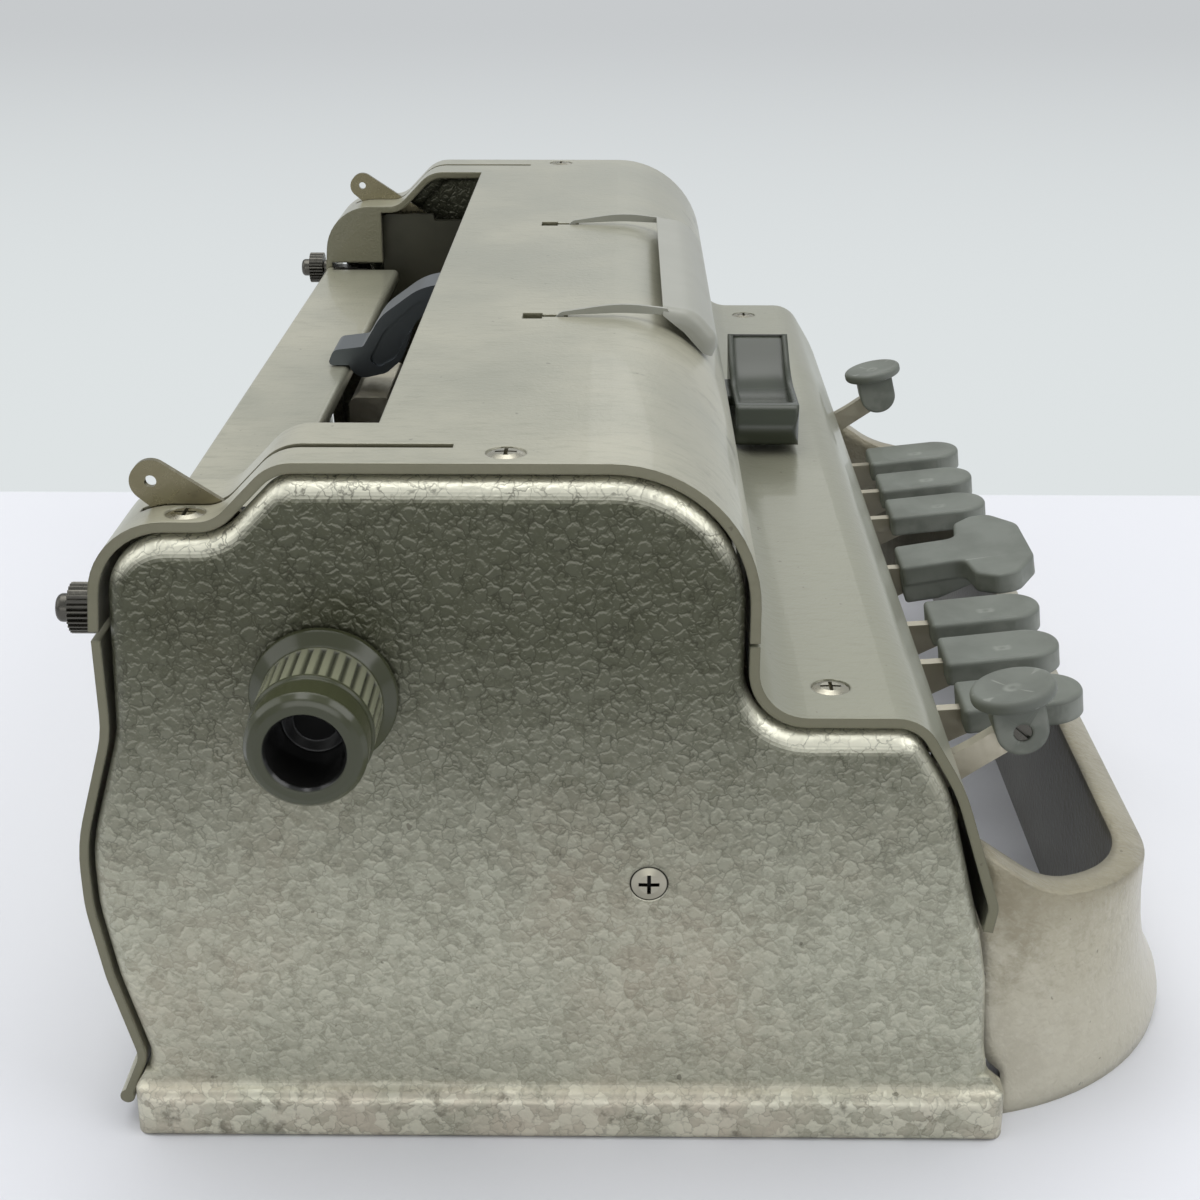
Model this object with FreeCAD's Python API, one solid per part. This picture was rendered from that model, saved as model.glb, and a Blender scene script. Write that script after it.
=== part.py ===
"""Manual braille writer: cast end plates, sheet covers, nine keys, paper feed, carriage and margin stops.

X is to the user's right, Y to the rear and Z up, in millimetres.  The pieces are drawn about the
middle of the base, on the table; FRAME_Y then moves them so that the origin is under the middle of
the whole machine, handle included.
"""
import FreeCAD, Part
import math
import os

# ---------------------------------------------------------------- driving dimensions
FRAME_Y = 17.40            # from the middle of the whole machine to the middle of the base
PLATE_FACE = 171.8        # outer face of an end plate; the length of everything else follows it
COVER_HALF = PLATE_FACE - 2.3  # half the length of the covers
COVER_WALL = 2.0          # wall of the top and deck covers
HEM_R = 1.5               # rolled hem at the foot of the rear cover
REAR_WALL = 1.8           # wall of the rear cover
TABLE_WALL = 1.6          # wall of the paper table
PLATE_INNER = PLATE_FACE - 5.5  # inner rim of an end plate
PLATE_SKIN = 2.8          # casting wall behind the outer face
PLATE_RIM = 3.6           # width of the casting's rim
PLATE_ROUND = 4.6         # rounding of the end plate's border
PLATE_GAP = 0.8           # dark gap between an end plate and the covers
BEAD_ROUND = 2.9          # rounding of its upper edge
BEAD_END_R = 4.5          # rounding of its ends
BEAD_FACE = PLATE_FACE + 2.9  # outermost line of the foot bead
BEAD_HALF_DEPTH = 88.2    # half the depth of the foot bead
BEAD_HEIGHT = 9.8         # height of the foot bead's side
RUN = 0.05                # radial clearance of a shaft in its hole
FREE = 0.3                # clearance between faces that pass each other
FAR = 300.0               # well outside the machine, for the ends of cutting tools

TOP_Z = 142.0             # top of the covers
SHOULDER_Z = 130.6        # top of the low shoulders at the rear
APRON_Z = 45.5            # lower edge of the deck cover
DECK_Z = 91.8             # top of the front deck
SEAM_Z = 107.0            # joint between the top cover and the deck cover
SEAM_GAP = 0.7
REAR_Y = 89.2             # rear of the shoulders at the slit
REAR_TOP_Y = 87.4         # and at the top
FRONT_Y = -36.2           # front of the tall part
SLIT_LOW = 107.0          # slit for the margin stops, along the rear
SLIT_HIGH = 108.9
CUTAWAY_HALF = PLATE_FACE - 28.0  # half the length of the paper opening
CUTAWAY_Y = 36.5          # rear edge of the top cover over the paper opening
TABLE_Z = 110.4           # top of the paper table
TABLE_FRONT_Y = 64.5
TABLE_HALF = CUTAWAY_HALF - 3.8  # half the length of its flat top
TABLE_LIP = 3.4           # depth of the table's front lip
CHEEK_WALL = 1.6
CHEEK_Y = 70.0            # front edge of the shoulder cheeks
CHEEK_Z = 112.0           # lower edge of the shoulder cheeks

FRAME_INNER = PLATE_FACE - 21.8  # inner face of the inner frames
FRAME_WALL = 2.5
BASE_FLOOR = 4.0          # underside of the base plate
BASE_WALL = 1.6
BASE_FRONT_Y = -83.5
BASE_REAR_Y = 83.5
BASE_FRONT_TOP = 34.0
BASE_REAR_TOP = 12.0
FOOT_R = 9.0
FOOT_X = FRAME_INNER - 10.0
FOOT_Y = 70.0

KEY_AXIS = (30.0, 50.0)   # key shaft, y and z
KEY_SHAFT_R = 3.0
KEY_TRAVEL_DEG = 3.2
LEVER_WALL = 3.0
LEVER_SLOT = 5.4          # width of the slots for the key levers
DOT_X = (40.9, 65.2, 91.9)  # dot keys, distance from the middle
CAP_W = 17.0
CAP_REAR_Y = -88.0
CAP_TIP_Y = -116.2
CAP_REAR_Z = 61.4
CAP_TILT = 6.6            # degrees, the tip is higher
CAP_H = 5.6
CAP_DISH = 0.9
SOCKET_FIT = 0.12
SPACE_REAR_Y = -85.6
SPACE_TILT = 9.5
SPACE_PAD_HALF = 23.5
SPACE_PAD_Y = (-103.8, -120.6)
DISC_X = 128.2
DISC_Y = -92.3
DISC_Z = 80.6
DISC_R = 9.1
DISC_H = 3.0
DISC_TILT = 13.4
BOSS_R = 5.6
BOSS_W = 9.0
SET_SCREW_DOWN = 9.4

DRUM_AXIS = (45.2, 97.4)  # feed shaft and knobs
DRUM_R = 8.0
DRUM_HALF = FRAME_INNER - 12.0
SHAFT_R = 4.0
SLEEVE_FIT = 0.05          # between the roller's sleeve and its shaft
SHAFT_HALF = PLATE_FACE + 11.2
KNOB_END = PLATE_FACE + 25.2
KNOB_FLANGE_R = 14.0
KNOB_FLANGE_W = 3.6
KNOB_R = 11.5
KNOB_END_R = 11.1
KNOB_HOLE_R = 7.0
KNOB_RIBBED = 13.5
KNOB_FLUTES = 30
FLUTE_R = 0.62
RATCHET_R = 9.2
RATCHET_TEETH = 24
RATCHET_X = FRAME_INNER - 9.0
RATCHET_W = 4.0
PAWL_AXIS = (28.0, 115.0)
PAWL_STUD_R = 1.5
PAWL_W = 2.4
PINCH_R = 3.0
PINCH_ANGLE = 180.0       # degrees, place of the pinch roller round the drum
PINCH_HALF = FRAME_INNER - 30.0
PINCH_PIN_R = 1.8

RELEASE_AXIS = (24.0, 93.0)
RELEASE_X = PLATE_FACE - 13.2
RELEASE_WALL = 1.4
RELEASE_SHAFT_R = 3.0
RELEASE_TAB = (77.7, 135.1)  # hole in the lever's round end
RELEASE_TAB_R = 3.9
RELEASE_HOLE_R = 1.15
RELEASE_SLIT = 2.4
RELEASE_SLIT_Y = (21.0, 80.0)

CARRIAGE_X = 28.0         # where the carriage stands at rest
CARRIAGE_HALF = 15.0
CARRIAGE_REACH = 124.0    # furthest place of the carriage from the middle
RAIL_UP = (6.0, 122.0)
RAIL_LOW = (-10.0, 98.0)
RAIL_R = 4.0
HEAD_X = (16.0, 32.0)
JAW_X = (9.0, 46.0)
LEVER_X = (-4.5, 48.0)    # finger piece of the carriage lever
LEVER_Y = (-40.2, -57.2)
LEVER_BASE_Z = 93.8
LEVER_LIP_Z = 104.6
LEVER_LIP_W = 6.8          # width of the round block at the near end
LEVER_RIM = 1.5            # rims beside the scoop
LEVER_CORNER_R = 5.0
LEVER_PEAK_Z = 113.0
LEVER_AXIS = (-27.0, 84.0)
LEVER_PIN_R = 1.5
DECK_SLOT_Z = 96.4         # lower edge of the slot for the carriage lever, up to the top cover
DECK_SLOT_HALF = FRAME_INNER - 9.0
RACK_Y = (-30.0, -26.0)
RACK_Z = (66.0, 74.0)
RACK_PITCH = 6.35
CELLS = 42

SPRING_AXIS = (62.0, 50.0)
SPRING_R = 19.0
SPRING_ARBOR_R = 3.0
SPRING_X = (104.0, 118.0)

REST_AXIS = (9.5, 137.6)
REST_X = 56.0
REST_WALL = 1.2
REST_ROD_R = 1.4
REST_SLOT_Y = (2.6, 13.2)
REST_NOTCH_Y = (8.6, 13.2)
REST_NOTCH_HALF = 2.8
REST_EYE_R = 2.2

MARGIN_AXIS = (80.0, 102.6)
MARGIN_BAR_R = 2.2
MARGIN_X = FRAME_INNER + 5.0
MARGIN_W = 7.0
MARGIN_PIN_R = 1.6
MARGIN_NUT_R = 5.0
MARGIN_NUT_Y = (91.4, 95.9)
MARGIN_HEAD_R = 2.8
MARGIN_HEAD_Y = 98.8
KNURL_TEETH = 28

BELL = (-100.0, 62.0, 34.0)
BELL_R = 17.0
BELL_WALL = 1.4
BELL_POST_R = 2.5
HAMMER_X = (-74.0, -71.0)

SCREW_R = 3.7
SCREW_SHANK_R = 2.0
SCREW_DEEP = 7.0
COVER_SCREW_X = PLATE_FACE - 9.0
SHOULDER_SCREW_X = PLATE_FACE - 7.6
SHOULDER_SCREW_Y = 70.4
TOP_SCREW_Y = 11.0
DECK_SCREW = (PLATE_FACE - 16.8, -51.2)
SIDE_SCREW = (-15.8, 57.35)

HANDLE_INNER_X = PLATE_FACE - 21.8
HANDLE_INNER_Y = -116.6
HANDLE_INNER_R = 25.0
HANDLE_TOP = 44.0
HANDLE_REAR_TOP = 57.0
HANDLE_ROOT_Y = -76.0

HANDLE_FLARE = [           # height, front y, distances of root and corner inside PLATE_FACE, corner radius
    (0, -133.2, 3.8, 14.8, 60), (3, -133.6, 3.7, 14.8, 60), (6, -132.9, 4.2, 15.0, 59),
    (9, -131.4, 5.2, 15.2, 56), (13, -129.4, 6.6, 15.4, 52), (18, -127.6, 8.0, 15.2, 49),
    (25, -126.1, 9.8, 14.8, 45), (33, -125.0, 11.4, 14.6, 41), (42, -124.3, 12.8, 14.4, 37),
    (62, -123.6, 13.9, 14.3, 36)]

# ---------------------------------------------------------------- outlines in the YZ plane: y, z, radius
BODY = [(86.8, 0, 0), (86.8, 13, 12), (95.2, 44, 50), (95.4, 62, 45), (88.6, 88, 25),
        (REAR_TOP_Y, SHOULDER_Z, 15), (64.5, SHOULDER_Z, 7), (53.5, TOP_Z, 10), (FRONT_Y, TOP_Z, 28),
        (FRONT_Y, DECK_Z, 9.5), (-67.5, DECK_Z, 9), (-76.5, 76.5, 40), (-84.6, 50, 60), (-86.6, 0, 0)]
TOP_PATH = [(REAR_Y, SLIT_HIGH, 0)] + BODY[5:9] + [(FRONT_Y, SEAM_Z, 0)]
DECK_PATH = [(FRONT_Y, SEAM_Z - SEAM_GAP, 0)] + BODY[9:12] + [(-84.5, 51, 6), (-83.6, APRON_Z, 0)]
REAR_PATH = [(91.4, 6.0, 0), (87.4, 15.5, 5), (92.4, 34, 30), (95.2, 50, 40), (95.4, 64, 40), (88.6, 88, 25),
             (88.8, SLIT_LOW, 0)]
TABLE_PATH = [(88.8, SLIT_HIGH, 0), (88.8, TABLE_Z, 1.2), (TABLE_FRONT_Y, TABLE_Z, 1.7),
              (TABLE_FRONT_Y, TABLE_Z - TABLE_LIP, 0)]
FRAME_OUTLINE = [(-66, BASE_FLOOR + BASE_WALL, 0), (74, BASE_FLOOR + BASE_WALL, 0), (74, 96, 6), (70.5, 103, 4),
                 (70.5, 127, 2), (53.4, 127, 0.6), (53.0, 124.8, 0.6), (40, 125.0, 4), (30, 134, 4), (-18, 134, 14), (-31, 118, 12), (-32, 86, 5), (-66, 84, 6)]


def vec(x, y, z):
    return FreeCAD.Vector(x, y, z)


def unit(a, b):
    length = math.hypot(b[0] - a[0], b[1] - a[1])
    return ((b[0] - a[0]) / length, (b[1] - a[1]) / length)


def shift_path(corners, depth, closed=False):
    """Corners moved to the left of the way they run, with their radii changed to match."""
    count = len(corners)
    moved = []
    for i, (u, v, radius) in enumerate(corners):
        before = unit(corners[i - 1], corners[i]) if (i > 0 or closed) else None
        after = unit(corners[i], corners[(i + 1) % count]) if (i < count - 1 or closed) else None
        before = before or after
        after = after or before
        cross = before[0] * after[1] - before[1] * after[0]
        dot = before[0] * after[0] + before[1] * after[1]
        reach = depth / (1 + dot)
        du = -(before[1] + after[1]) * reach
        dv = (before[0] + after[0]) * reach
        turned = radius - depth if cross > 0 else radius + depth
        moved.append((u + du, v + dv, max(turned, 0.0) if radius > 0 else 0.0))
    return moved


def path_edges(corners, closed, place):
    """Straight runs joined by tangent arcs, with place turning a flat point into a 3-D one."""
    count = len(corners)
    joints = []
    for i, (u, v, radius) in enumerate(corners):
        if radius <= 0 or (not closed and i in (0, count - 1)):
            joints.append(((u, v), None, (u, v)))
            continue
        before = unit(corners[i - 1], corners[i])
        after = unit(corners[i], corners[(i + 1) % count])
        dot = max(-1.0, min(1.0, before[0] * after[0] + before[1] * after[1]))
        half = math.acos(dot) / 2
        reach = radius * math.tan(half)
        start = (u - before[0] * reach, v - before[1] * reach)
        end = (u + after[0] * reach, v + after[1] * reach)
        bulge = radius * (1 / math.cos(half) - 1)
        inward = (after[0] - before[0], after[1] - before[1])
        size = math.hypot(*inward)
        middle = (u + inward[0] / size * bulge, v + inward[1] / size * bulge)
        joints.append((start, middle, end))
    edges = []
    for i in range(count):
        start, middle, end = joints[i]
        if middle:
            edges.append(Part.Arc(place(*start), place(*middle), place(*end)).toShape())
        following = joints[(i + 1) % count][0]
        if (closed or i < count - 1) and math.hypot(end[0] - following[0], end[1] - following[1]) > 1e-6:
            edges.append(Part.LineSegment(place(*end), place(*following)).toShape())
    return edges


def in_yz(u, v):
    return vec(0, u, v)


def in_xy(u, v):
    return vec(u, v, 0)


def in_xz(u, v):
    return vec(u, 0, v)


def face_of(corners, place=in_yz):
    return Part.Face(Part.Wire(path_edges(corners, True, place)))


def band_face(path, wall, place=in_yz):
    """A strip of sheet whose outer side follows the path."""
    outer = path_edges(path, False, place)
    inner_path = shift_path(path, wall)
    inner = path_edges(inner_path, False, place)
    caps = [Part.LineSegment(place(*path[k][:2]), place(*inner_path[k][:2])).toShape() for k in (0, -1)]
    wire = Part.Wire(Part.__sortEdges__(outer + inner + caps))
    return Part.Face(wire)


def slab_x(face, x0, x1):
    low, high = min(x0, x1), max(x0, x1)
    solid = face.extrude(vec(high - low, 0, 0))
    solid.translate(vec(low, 0, 0))
    return solid


def slab_z(face, z0, z1):
    solid = face.extrude(vec(0, 0, z1 - z0))
    solid.translate(vec(0, 0, z0))
    return solid


def slab_y(face, y0, y1):
    solid = face.extrude(vec(0, y1 - y0, 0))
    solid.translate(vec(0, y0, 0))
    return solid


def block(x, y, z):
    low = vec(min(x), min(y), min(z))
    return Part.makeBox(max(x) - low.x, max(y) - low.y, max(z) - low.z, low)


def rod_x(centre, radius, x0, x1):
    low = min(x0, x1)
    return Part.makeCylinder(radius, abs(x1 - x0), vec(low, centre[0], centre[1]), vec(1, 0, 0))


def rod_y(x, z, radius, y0, y1):
    low = min(y0, y1)
    return Part.makeCylinder(radius, abs(y1 - y0), vec(x, low, z), vec(0, 1, 0))


def rod_z(x, y, radius, z0, z1):
    low = min(z0, z1)
    return Part.makeCylinder(radius, abs(z1 - z0), vec(x, y, low), vec(0, 0, 1))


def spin_x(profile, centre):
    """A turned piece: profile gives distance along X and radius, spun about an X axis at centre."""
    points = [vec(x, centre[0] + r, centre[1]) for x, r in profile]
    wire = Part.makePolygon(points + points[:1])
    return Part.Face(wire).revolve(vec(0, centre[0], centre[1]), vec(1, 0, 0), 360)


def mirror_x(shape):
    return shape.mirror(vec(0, 0, 0), vec(1, 0, 0))


def both_sides(shape):
    return [shape, mirror_x(shape)]


def turn_about_x(shape, centre, degrees):
    turned = shape.copy()
    turned.rotate(vec(0, centre[0], centre[1]), vec(1, 0, 0), degrees)
    return turned


def polar(centre, radius, degrees):
    angle = math.radians(degrees)
    return (centre[0] + radius * math.cos(angle), centre[1] + radius * math.sin(angle))


def toothed_face(centre, radius, depth, teeth, place):
    points = []
    for i in range(teeth):
        for share, r in ((0.0, radius), (0.3, radius), (0.9, radius - depth)):
            u, v = polar(centre, r, 360.0 * (i + share) / teeth)
            points.append(place(u, v))
    return Part.Face(Part.makePolygon(points + points[:1]))


# ---------------------------------------------------------------- screws
def screw(head_r, shank_r, length, cross=True):
    """Countersunk screw along +Z with its head's top at the origin and a cross recess."""
    head_h = head_r - shank_r
    profile = [vec(0, 0, 0.35), vec(head_r * 0.55, 0, 0.25), vec(head_r, 0, -0.25), vec(shank_r, 0, -head_h),
               vec(shank_r, 0, -length), vec(0, 0, -length)]
    body = Part.Face(Part.makePolygon(profile + profile[:1])).revolve(vec(0, 0, 0), vec(0, 0, 1), 360)
    arm, wide, deep = head_r * 0.55, head_r * 0.2, 1.2
    slots = block((-arm, arm), (-wide / 2, wide / 2), (-deep, 1))
    if cross:
        slots = slots.fuse(block((-wide / 2, wide / 2), (-arm, arm), (-deep, 1)))
    return body.cut(slots)


def place_screw(shape, position, normal):
    placed = shape.copy()
    placed.Placement = FreeCAD.Placement(position, FreeCAD.Rotation(vec(0, 0, 1), normal))
    return placed


def screw_hole(position, normal, head_r=SCREW_R, shank_r=SCREW_SHANK_R):
    """The countersunk hole that such a screw sits in, with a little room round it."""
    fit = 0.15
    head_h = head_r - shank_r
    cone = Part.makeCone(head_r + fit, shank_r + fit, head_h, vec(0, 0, -0.25), vec(0, 0, -1))
    mouth = Part.makeCylinder(head_r + fit, 3.0, vec(0, 0, -0.25))
    shank = Part.makeCylinder(shank_r + fit, 12.0, vec(0, 0, 0), vec(0, 0, -1))
    return place_screw(cone.fuse([mouth, shank]), position, normal)


def cover_screw_places():
    up = vec(0, 0, 1)
    for side in (-1, 1):
        yield vec(side * COVER_SCREW_X, TOP_SCREW_Y, TOP_Z), up
        yield vec(side * SHOULDER_SCREW_X, SHOULDER_SCREW_Y, SHOULDER_Z), up
        yield vec(side * DECK_SCREW[0], DECK_SCREW[1], DECK_Z), up


def cut_cover_screws(shape):
    return shape.cut([screw_hole(spot, normal) for spot, normal in cover_screw_places()])


# ---------------------------------------------------------------- casings
def build_top_cover():
    cover = slab_x(band_face(TOP_PATH, COVER_WALL), -COVER_HALF, COVER_HALF)
    cutaway = block((-CUTAWAY_HALF, CUTAWAY_HALF), (CUTAWAY_Y, 120), (90, 160))
    cover = cover.cut(cutaway)
    inside = shift_path(TOP_PATH, COVER_WALL / 2)
    region = face_of(inside[:4] + [(CUTAWAY_Y, inside[3][1], 0), (CUTAWAY_Y, SLIT_HIGH, 0)])
    cheek = slab_x(region, CUTAWAY_HALF, CUTAWAY_HALF + CHEEK_WALL)
    cheek = cheek.cut([block((0, FAR), (0, FAR), (0, CHEEK_Z)), block((0, FAR), (0, CHEEK_Y), (0, FAR))])
    cover = cover.fuse(both_sides(cheek))
    for side in (-1, 1):
        x = side * RELEASE_X
        slit = block((x - RELEASE_SLIT / 2, x + RELEASE_SLIT / 2), RELEASE_SLIT_Y, (112, 160))
        rest_x = side * REST_X
        notch = block((rest_x - REST_WALL / 2 - 0.5, rest_x + REST_WALL / 2 + 0.5), REST_SLOT_Y, (SHOULDER_Z, FAR))
        hole = block((rest_x - REST_NOTCH_HALF, rest_x + REST_NOTCH_HALF), REST_NOTCH_Y, (SHOULDER_Z, FAR))
        cover = cover.cut([slit, notch, hole])
    return cut_cover_screws(cover)


def lever_columns():
    columns = [0.0, -DISC_X, DISC_X]
    for x in DOT_X:
        columns += [-x, x]
    return sorted(columns)


def build_deck_cover():
    cover = slab_x(band_face(DECK_PATH, COVER_WALL), -COVER_HALF, COVER_HALF)
    cuts = [block((-DECK_SLOT_HALF, DECK_SLOT_HALF), (FRONT_Y - 1, FRONT_Y + COVER_WALL + 1), (DECK_SLOT_Z, 120))]
    for x in lever_columns():
        top = 68.5 if abs(x) == DISC_X else 61.0
        cuts.append(block((x - LEVER_SLOT / 2, x + LEVER_SLOT / 2), (-100, -70), (30, top)))
    return cut_cover_screws(cover.cut(cuts))


def build_rear_cover(grow=0.0):
    """Rear cover with a rolled hem along its flared foot."""
    if grow:
        line = shift_path(REAR_PATH[:4], -grow)
        band = slab_x(band_face(line, REAR_WALL + 2 * grow), -COVER_HALF - grow, COVER_HALF + grow)
    else:
        band = slab_x(band_face(REAR_PATH, REAR_WALL), -COVER_HALF, COVER_HALF)
    tip = (REAR_PATH[0][0] - REAR_WALL / 2, REAR_PATH[0][1])
    hem = rod_x(tip, HEM_R + grow, -COVER_HALF - grow, COVER_HALF + grow)
    return band.fuse(hem).removeSplitter()


def build_paper_table():
    table = slab_x(band_face(TABLE_PATH, TABLE_WALL), -FRAME_INNER + 0.1, FRAME_INNER - 0.1)
    corner = block((CUTAWAY_HALF - FREE, FAR), (REAR_Y - COVER_WALL - 3.0, FAR), (0, FAR))
    end = block((TABLE_HALF, FAR), (TABLE_FRONT_Y - 1, REAR_Y - COVER_WALL - 0.8), (0, FAR))
    return table.cut([corner, mirror_x(corner), end, mirror_x(end)])


def plate_outline(grow=0.0):
    """The end plate's outline: inside the covers all round, and flared at the foot."""
    top = shift_path(BODY, COVER_WALL + PLATE_GAP, closed=True)[5:-2]
    back = shift_path(REAR_PATH, REAR_WALL + PLATE_GAP)[1:-1]
    front = [(-81.3, 45, 12), (-83.2, 34, 25), (-83.9, BEAD_HEIGHT + 9, 10), (-85.0, BEAD_HEIGHT + 2.4, 3),
             (-BEAD_HALF_DEPTH, BEAD_HEIGHT - 0.4, 1.5), (-BEAD_HALF_DEPTH, 0, 0)]
    rear = [(BEAD_HALF_DEPTH, 0, 0), (BEAD_HALF_DEPTH, BEAD_HEIGHT - 0.4, 1.5)]
    return shift_path(rear + back + top + front, -grow, closed=True)


def build_side_plate():
    """Right-hand end plate; the left one is its mirror image."""
    outline = plate_outline()
    slab = slab_x(face_of(outline), PLATE_INNER, PLATE_FACE)
    border = []
    for edge in slab.Edges:
        box = edge.BoundBox
        outer = abs(box.XMin - PLATE_FACE) < 1e-4 and abs(box.XMax - PLATE_FACE) < 1e-4
        if outer and box.ZMin > BEAD_HEIGHT + 2:
            border.append(edge)
    slab = slab.makeFillet(PLATE_ROUND, border)
    pocket = slab_x(face_of(shift_path(outline, PLATE_RIM, closed=True)), PLATE_INNER, PLATE_FACE - PLATE_SKIN)
    slab = slab.cut(pocket)
    half = BEAD_HALF_DEPTH + 1
    cove = [(PLATE_INNER, 0, 0), (BEAD_FACE, 0, 1.6), (BEAD_FACE, BEAD_HEIGHT, BEAD_ROUND),
            (PLATE_FACE - 0.3, BEAD_HEIGHT + 1.2, 1.2), (PLATE_FACE - 0.3, BEAD_HEIGHT + 3.4, 0),
            (PLATE_INNER, BEAD_HEIGHT + 3.4, 0)]
    bead = slab_y(face_of(cove, in_xz), -half, half)
    ends = face_of([(PLATE_INNER, -half + 1, 0), (BEAD_FACE, -half + 1, BEAD_END_R),
                    (BEAD_FACE, half - 1, BEAD_END_R), (PLATE_INNER, half - 1, 0)], in_xy)
    bead = bead.common(slab_z(ends, -1, 40)).common(slab_x(face_of(outline), PLATE_INNER, BEAD_FACE + 1))
    bead = bead.cut(block((PLATE_INNER - 1, PLATE_FACE - PLATE_SKIN - 1),
                          (-BEAD_HALF_DEPTH + 8, BEAD_HALF_DEPTH - 8), (3.5, 40)))
    reach = PLATE_FACE - PLATE_SKIN + 0.5
    bosses = [rod_x(DRUM_AXIS, SHAFT_R + 5.0, PLATE_INNER - 2, reach),
              rod_x(SIDE_SCREW, SCREW_R + 1.5, PLATE_INNER, reach),
              rod_x(MARGIN_AXIS, MARGIN_BAR_R + 2.0, PLATE_INNER, reach)]
    plate = slab.fuse([bead] + bosses)
    plate = plate.cut(rod_x(DRUM_AXIS, SHAFT_R + RUN, FRAME_INNER, FAR))
    plate = plate.cut(build_rear_cover(FREE))
    plate = plate.cut(screw_hole(vec(PLATE_FACE, SIDE_SCREW[0], SIDE_SCREW[1]), vec(1, 0, 0)))
    return plate.removeSplitter()


def handle_section(z, front, root_in, corner_in, radius):
    side_x, corner_x = PLATE_FACE - root_in, PLATE_FACE - corner_in
    corners = [(-side_x, -60, 0), (-side_x, HANDLE_ROOT_Y, 0), (-corner_x, front, radius),
               (corner_x, front, radius), (side_x, HANDLE_ROOT_Y, 0), (side_x, -60, 0)]
    wire = Part.Wire(path_edges(corners, True, in_xy))
    wire.translate(vec(0, 0, z))
    return wire


def build_handle():
    """U-shaped casting in front of the keys, flared at the foot, with an opening for the fingers."""
    outer = Part.makeLoft([handle_section(*row) for row in HANDLE_FLARE], True, True)
    side_view = [(-60, -1, 0), (-60, 62, 0), (-82, HANDLE_REAR_TOP, 10), (-97, HANDLE_TOP + 2.6, 22),
                 (-118.6, HANDLE_TOP + 0.4, 6), (-124.8, HANDLE_TOP - 2.6, 5), (-140, HANDLE_TOP - 18, 0),
                 (-140, -1, 0)]
    side_view.reverse()
    outer = outer.common(slab_x(face_of(side_view), -FAR, FAR))
    opening = [(-HANDLE_INNER_X, -50, 0), (-HANDLE_INNER_X, HANDLE_INNER_Y, HANDLE_INNER_R),
               (HANDLE_INNER_X, HANDLE_INNER_Y, HANDLE_INNER_R), (HANDLE_INNER_X, -50, 0)]
    outer = outer.cut(slab_z(face_of(opening, in_xy), -5, 90))
    deck = shift_path(DECK_PATH, -FREE) + [(-60, APRON_Z - FREE, 0), (-20, APRON_Z - FREE, 0)]
    deck[-3] = (deck[-3][0], APRON_Z - FREE, 0)
    cover = slab_x(face_of(deck), -FAR, FAR)
    plate = slab_x(face_of(plate_outline(FREE)), -FAR, FAR)
    return outer.cut([cover, plate])


def build_base_plate():
    half = PLATE_INNER - FREE
    top = BASE_FLOOR + BASE_WALL
    floor = block((-half, half), (BASE_FRONT_Y, BASE_REAR_Y), (BASE_FLOOR, top))
    front = block((-half, half), (BASE_FRONT_Y, BASE_FRONT_Y + BASE_WALL), (BASE_FLOOR, BASE_FRONT_TOP))
    rear = block((-half, half), (BASE_REAR_Y - BASE_WALL, BASE_REAR_Y), (BASE_FLOOR, BASE_REAR_TOP))
    return floor.fuse([front, rear, build_hammer_post()]).removeSplitter()


def build_feet():
    feet = []
    for x in (-FOOT_X, FOOT_X):
        for y in (-FOOT_Y, FOOT_Y):
            foot = Part.makeCone(FOOT_R - 1, FOOT_R, BASE_FLOOR, vec(x, y, 0), vec(0, 0, 1))
            feet.append(foot)
    return feet


def pinch_axis():
    return polar(DRUM_AXIS, DRUM_R + PINCH_R + FREE, PINCH_ANGLE)


def build_inner_frames():
    plate = slab_x(face_of(FRAME_OUTLINE), FRAME_INNER, FRAME_INNER + FRAME_WALL)
    holes = [rod_x(DRUM_AXIS, SHAFT_R + 2.0, 0, FAR), rod_x(KEY_AXIS, KEY_SHAFT_R, 0, FAR),
             rod_x(RELEASE_AXIS, RELEASE_SHAFT_R + RUN, 0, FAR), rod_x(RAIL_UP, RAIL_R, 0, FAR),
             rod_x(RAIL_LOW, RAIL_R, 0, FAR), rod_x(pinch_axis(), PINCH_PIN_R + RUN, 0, FAR)]
    lighten = face_of([(-50, 20, 6), (16, 20, 6), (16, 74, 6), (-50, 70, 6)])
    plate = plate.cut(holes + [slab_x(lighten, 0, FAR)])
    studs = [rod_x(PAWL_AXIS, PAWL_STUD_R, RATCHET_X - 1, FRAME_INNER + 1),
             rod_x(SPRING_AXIS, SPRING_ARBOR_R, SPRING_X[0] - 2, FRAME_INNER + 1)]
    return [mirror_x(plate), plate.fuse(studs).removeSplitter()]


# ---------------------------------------------------------------- keys
def build_lever(x, x_shift=0.0):
    """Flat key lever from the key shaft to the cap, bored for the shaft."""
    outline = [(38, 44, 3), (38, 56, 3), (-80, 58.2, 8), (-110, 60.4, 1.5), (-110, 56.4, 1.5), (-92, 53.6, 6),
               (-84, 49.5, 8), (20, 43.5, 6)]
    outline.reverse()
    lever = slab_x(face_of(outline), x - LEVER_WALL / 2, x + LEVER_WALL / 2)
    return lever.cut(rod_x(KEY_AXIS, KEY_SHAFT_R + RUN, x - 5, x + 5))


def tilted(shape, degrees, pivot):
    """Turned about an X axis so that the front end rises."""
    return turn_about_x(shape, pivot, -degrees)


def lever_socket(x):
    wide = LEVER_WALL / 2 + SOCKET_FIT
    return slab_x(face_of(shift_path([(-50, 40, 0), (-50, 57.65, 0), (-80, 58.2, 8), (-110, 60.4, 1.5),
                                      (-110, 40, 0)], -SOCKET_FIT, closed=True)), x - wide, x + wide)


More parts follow.
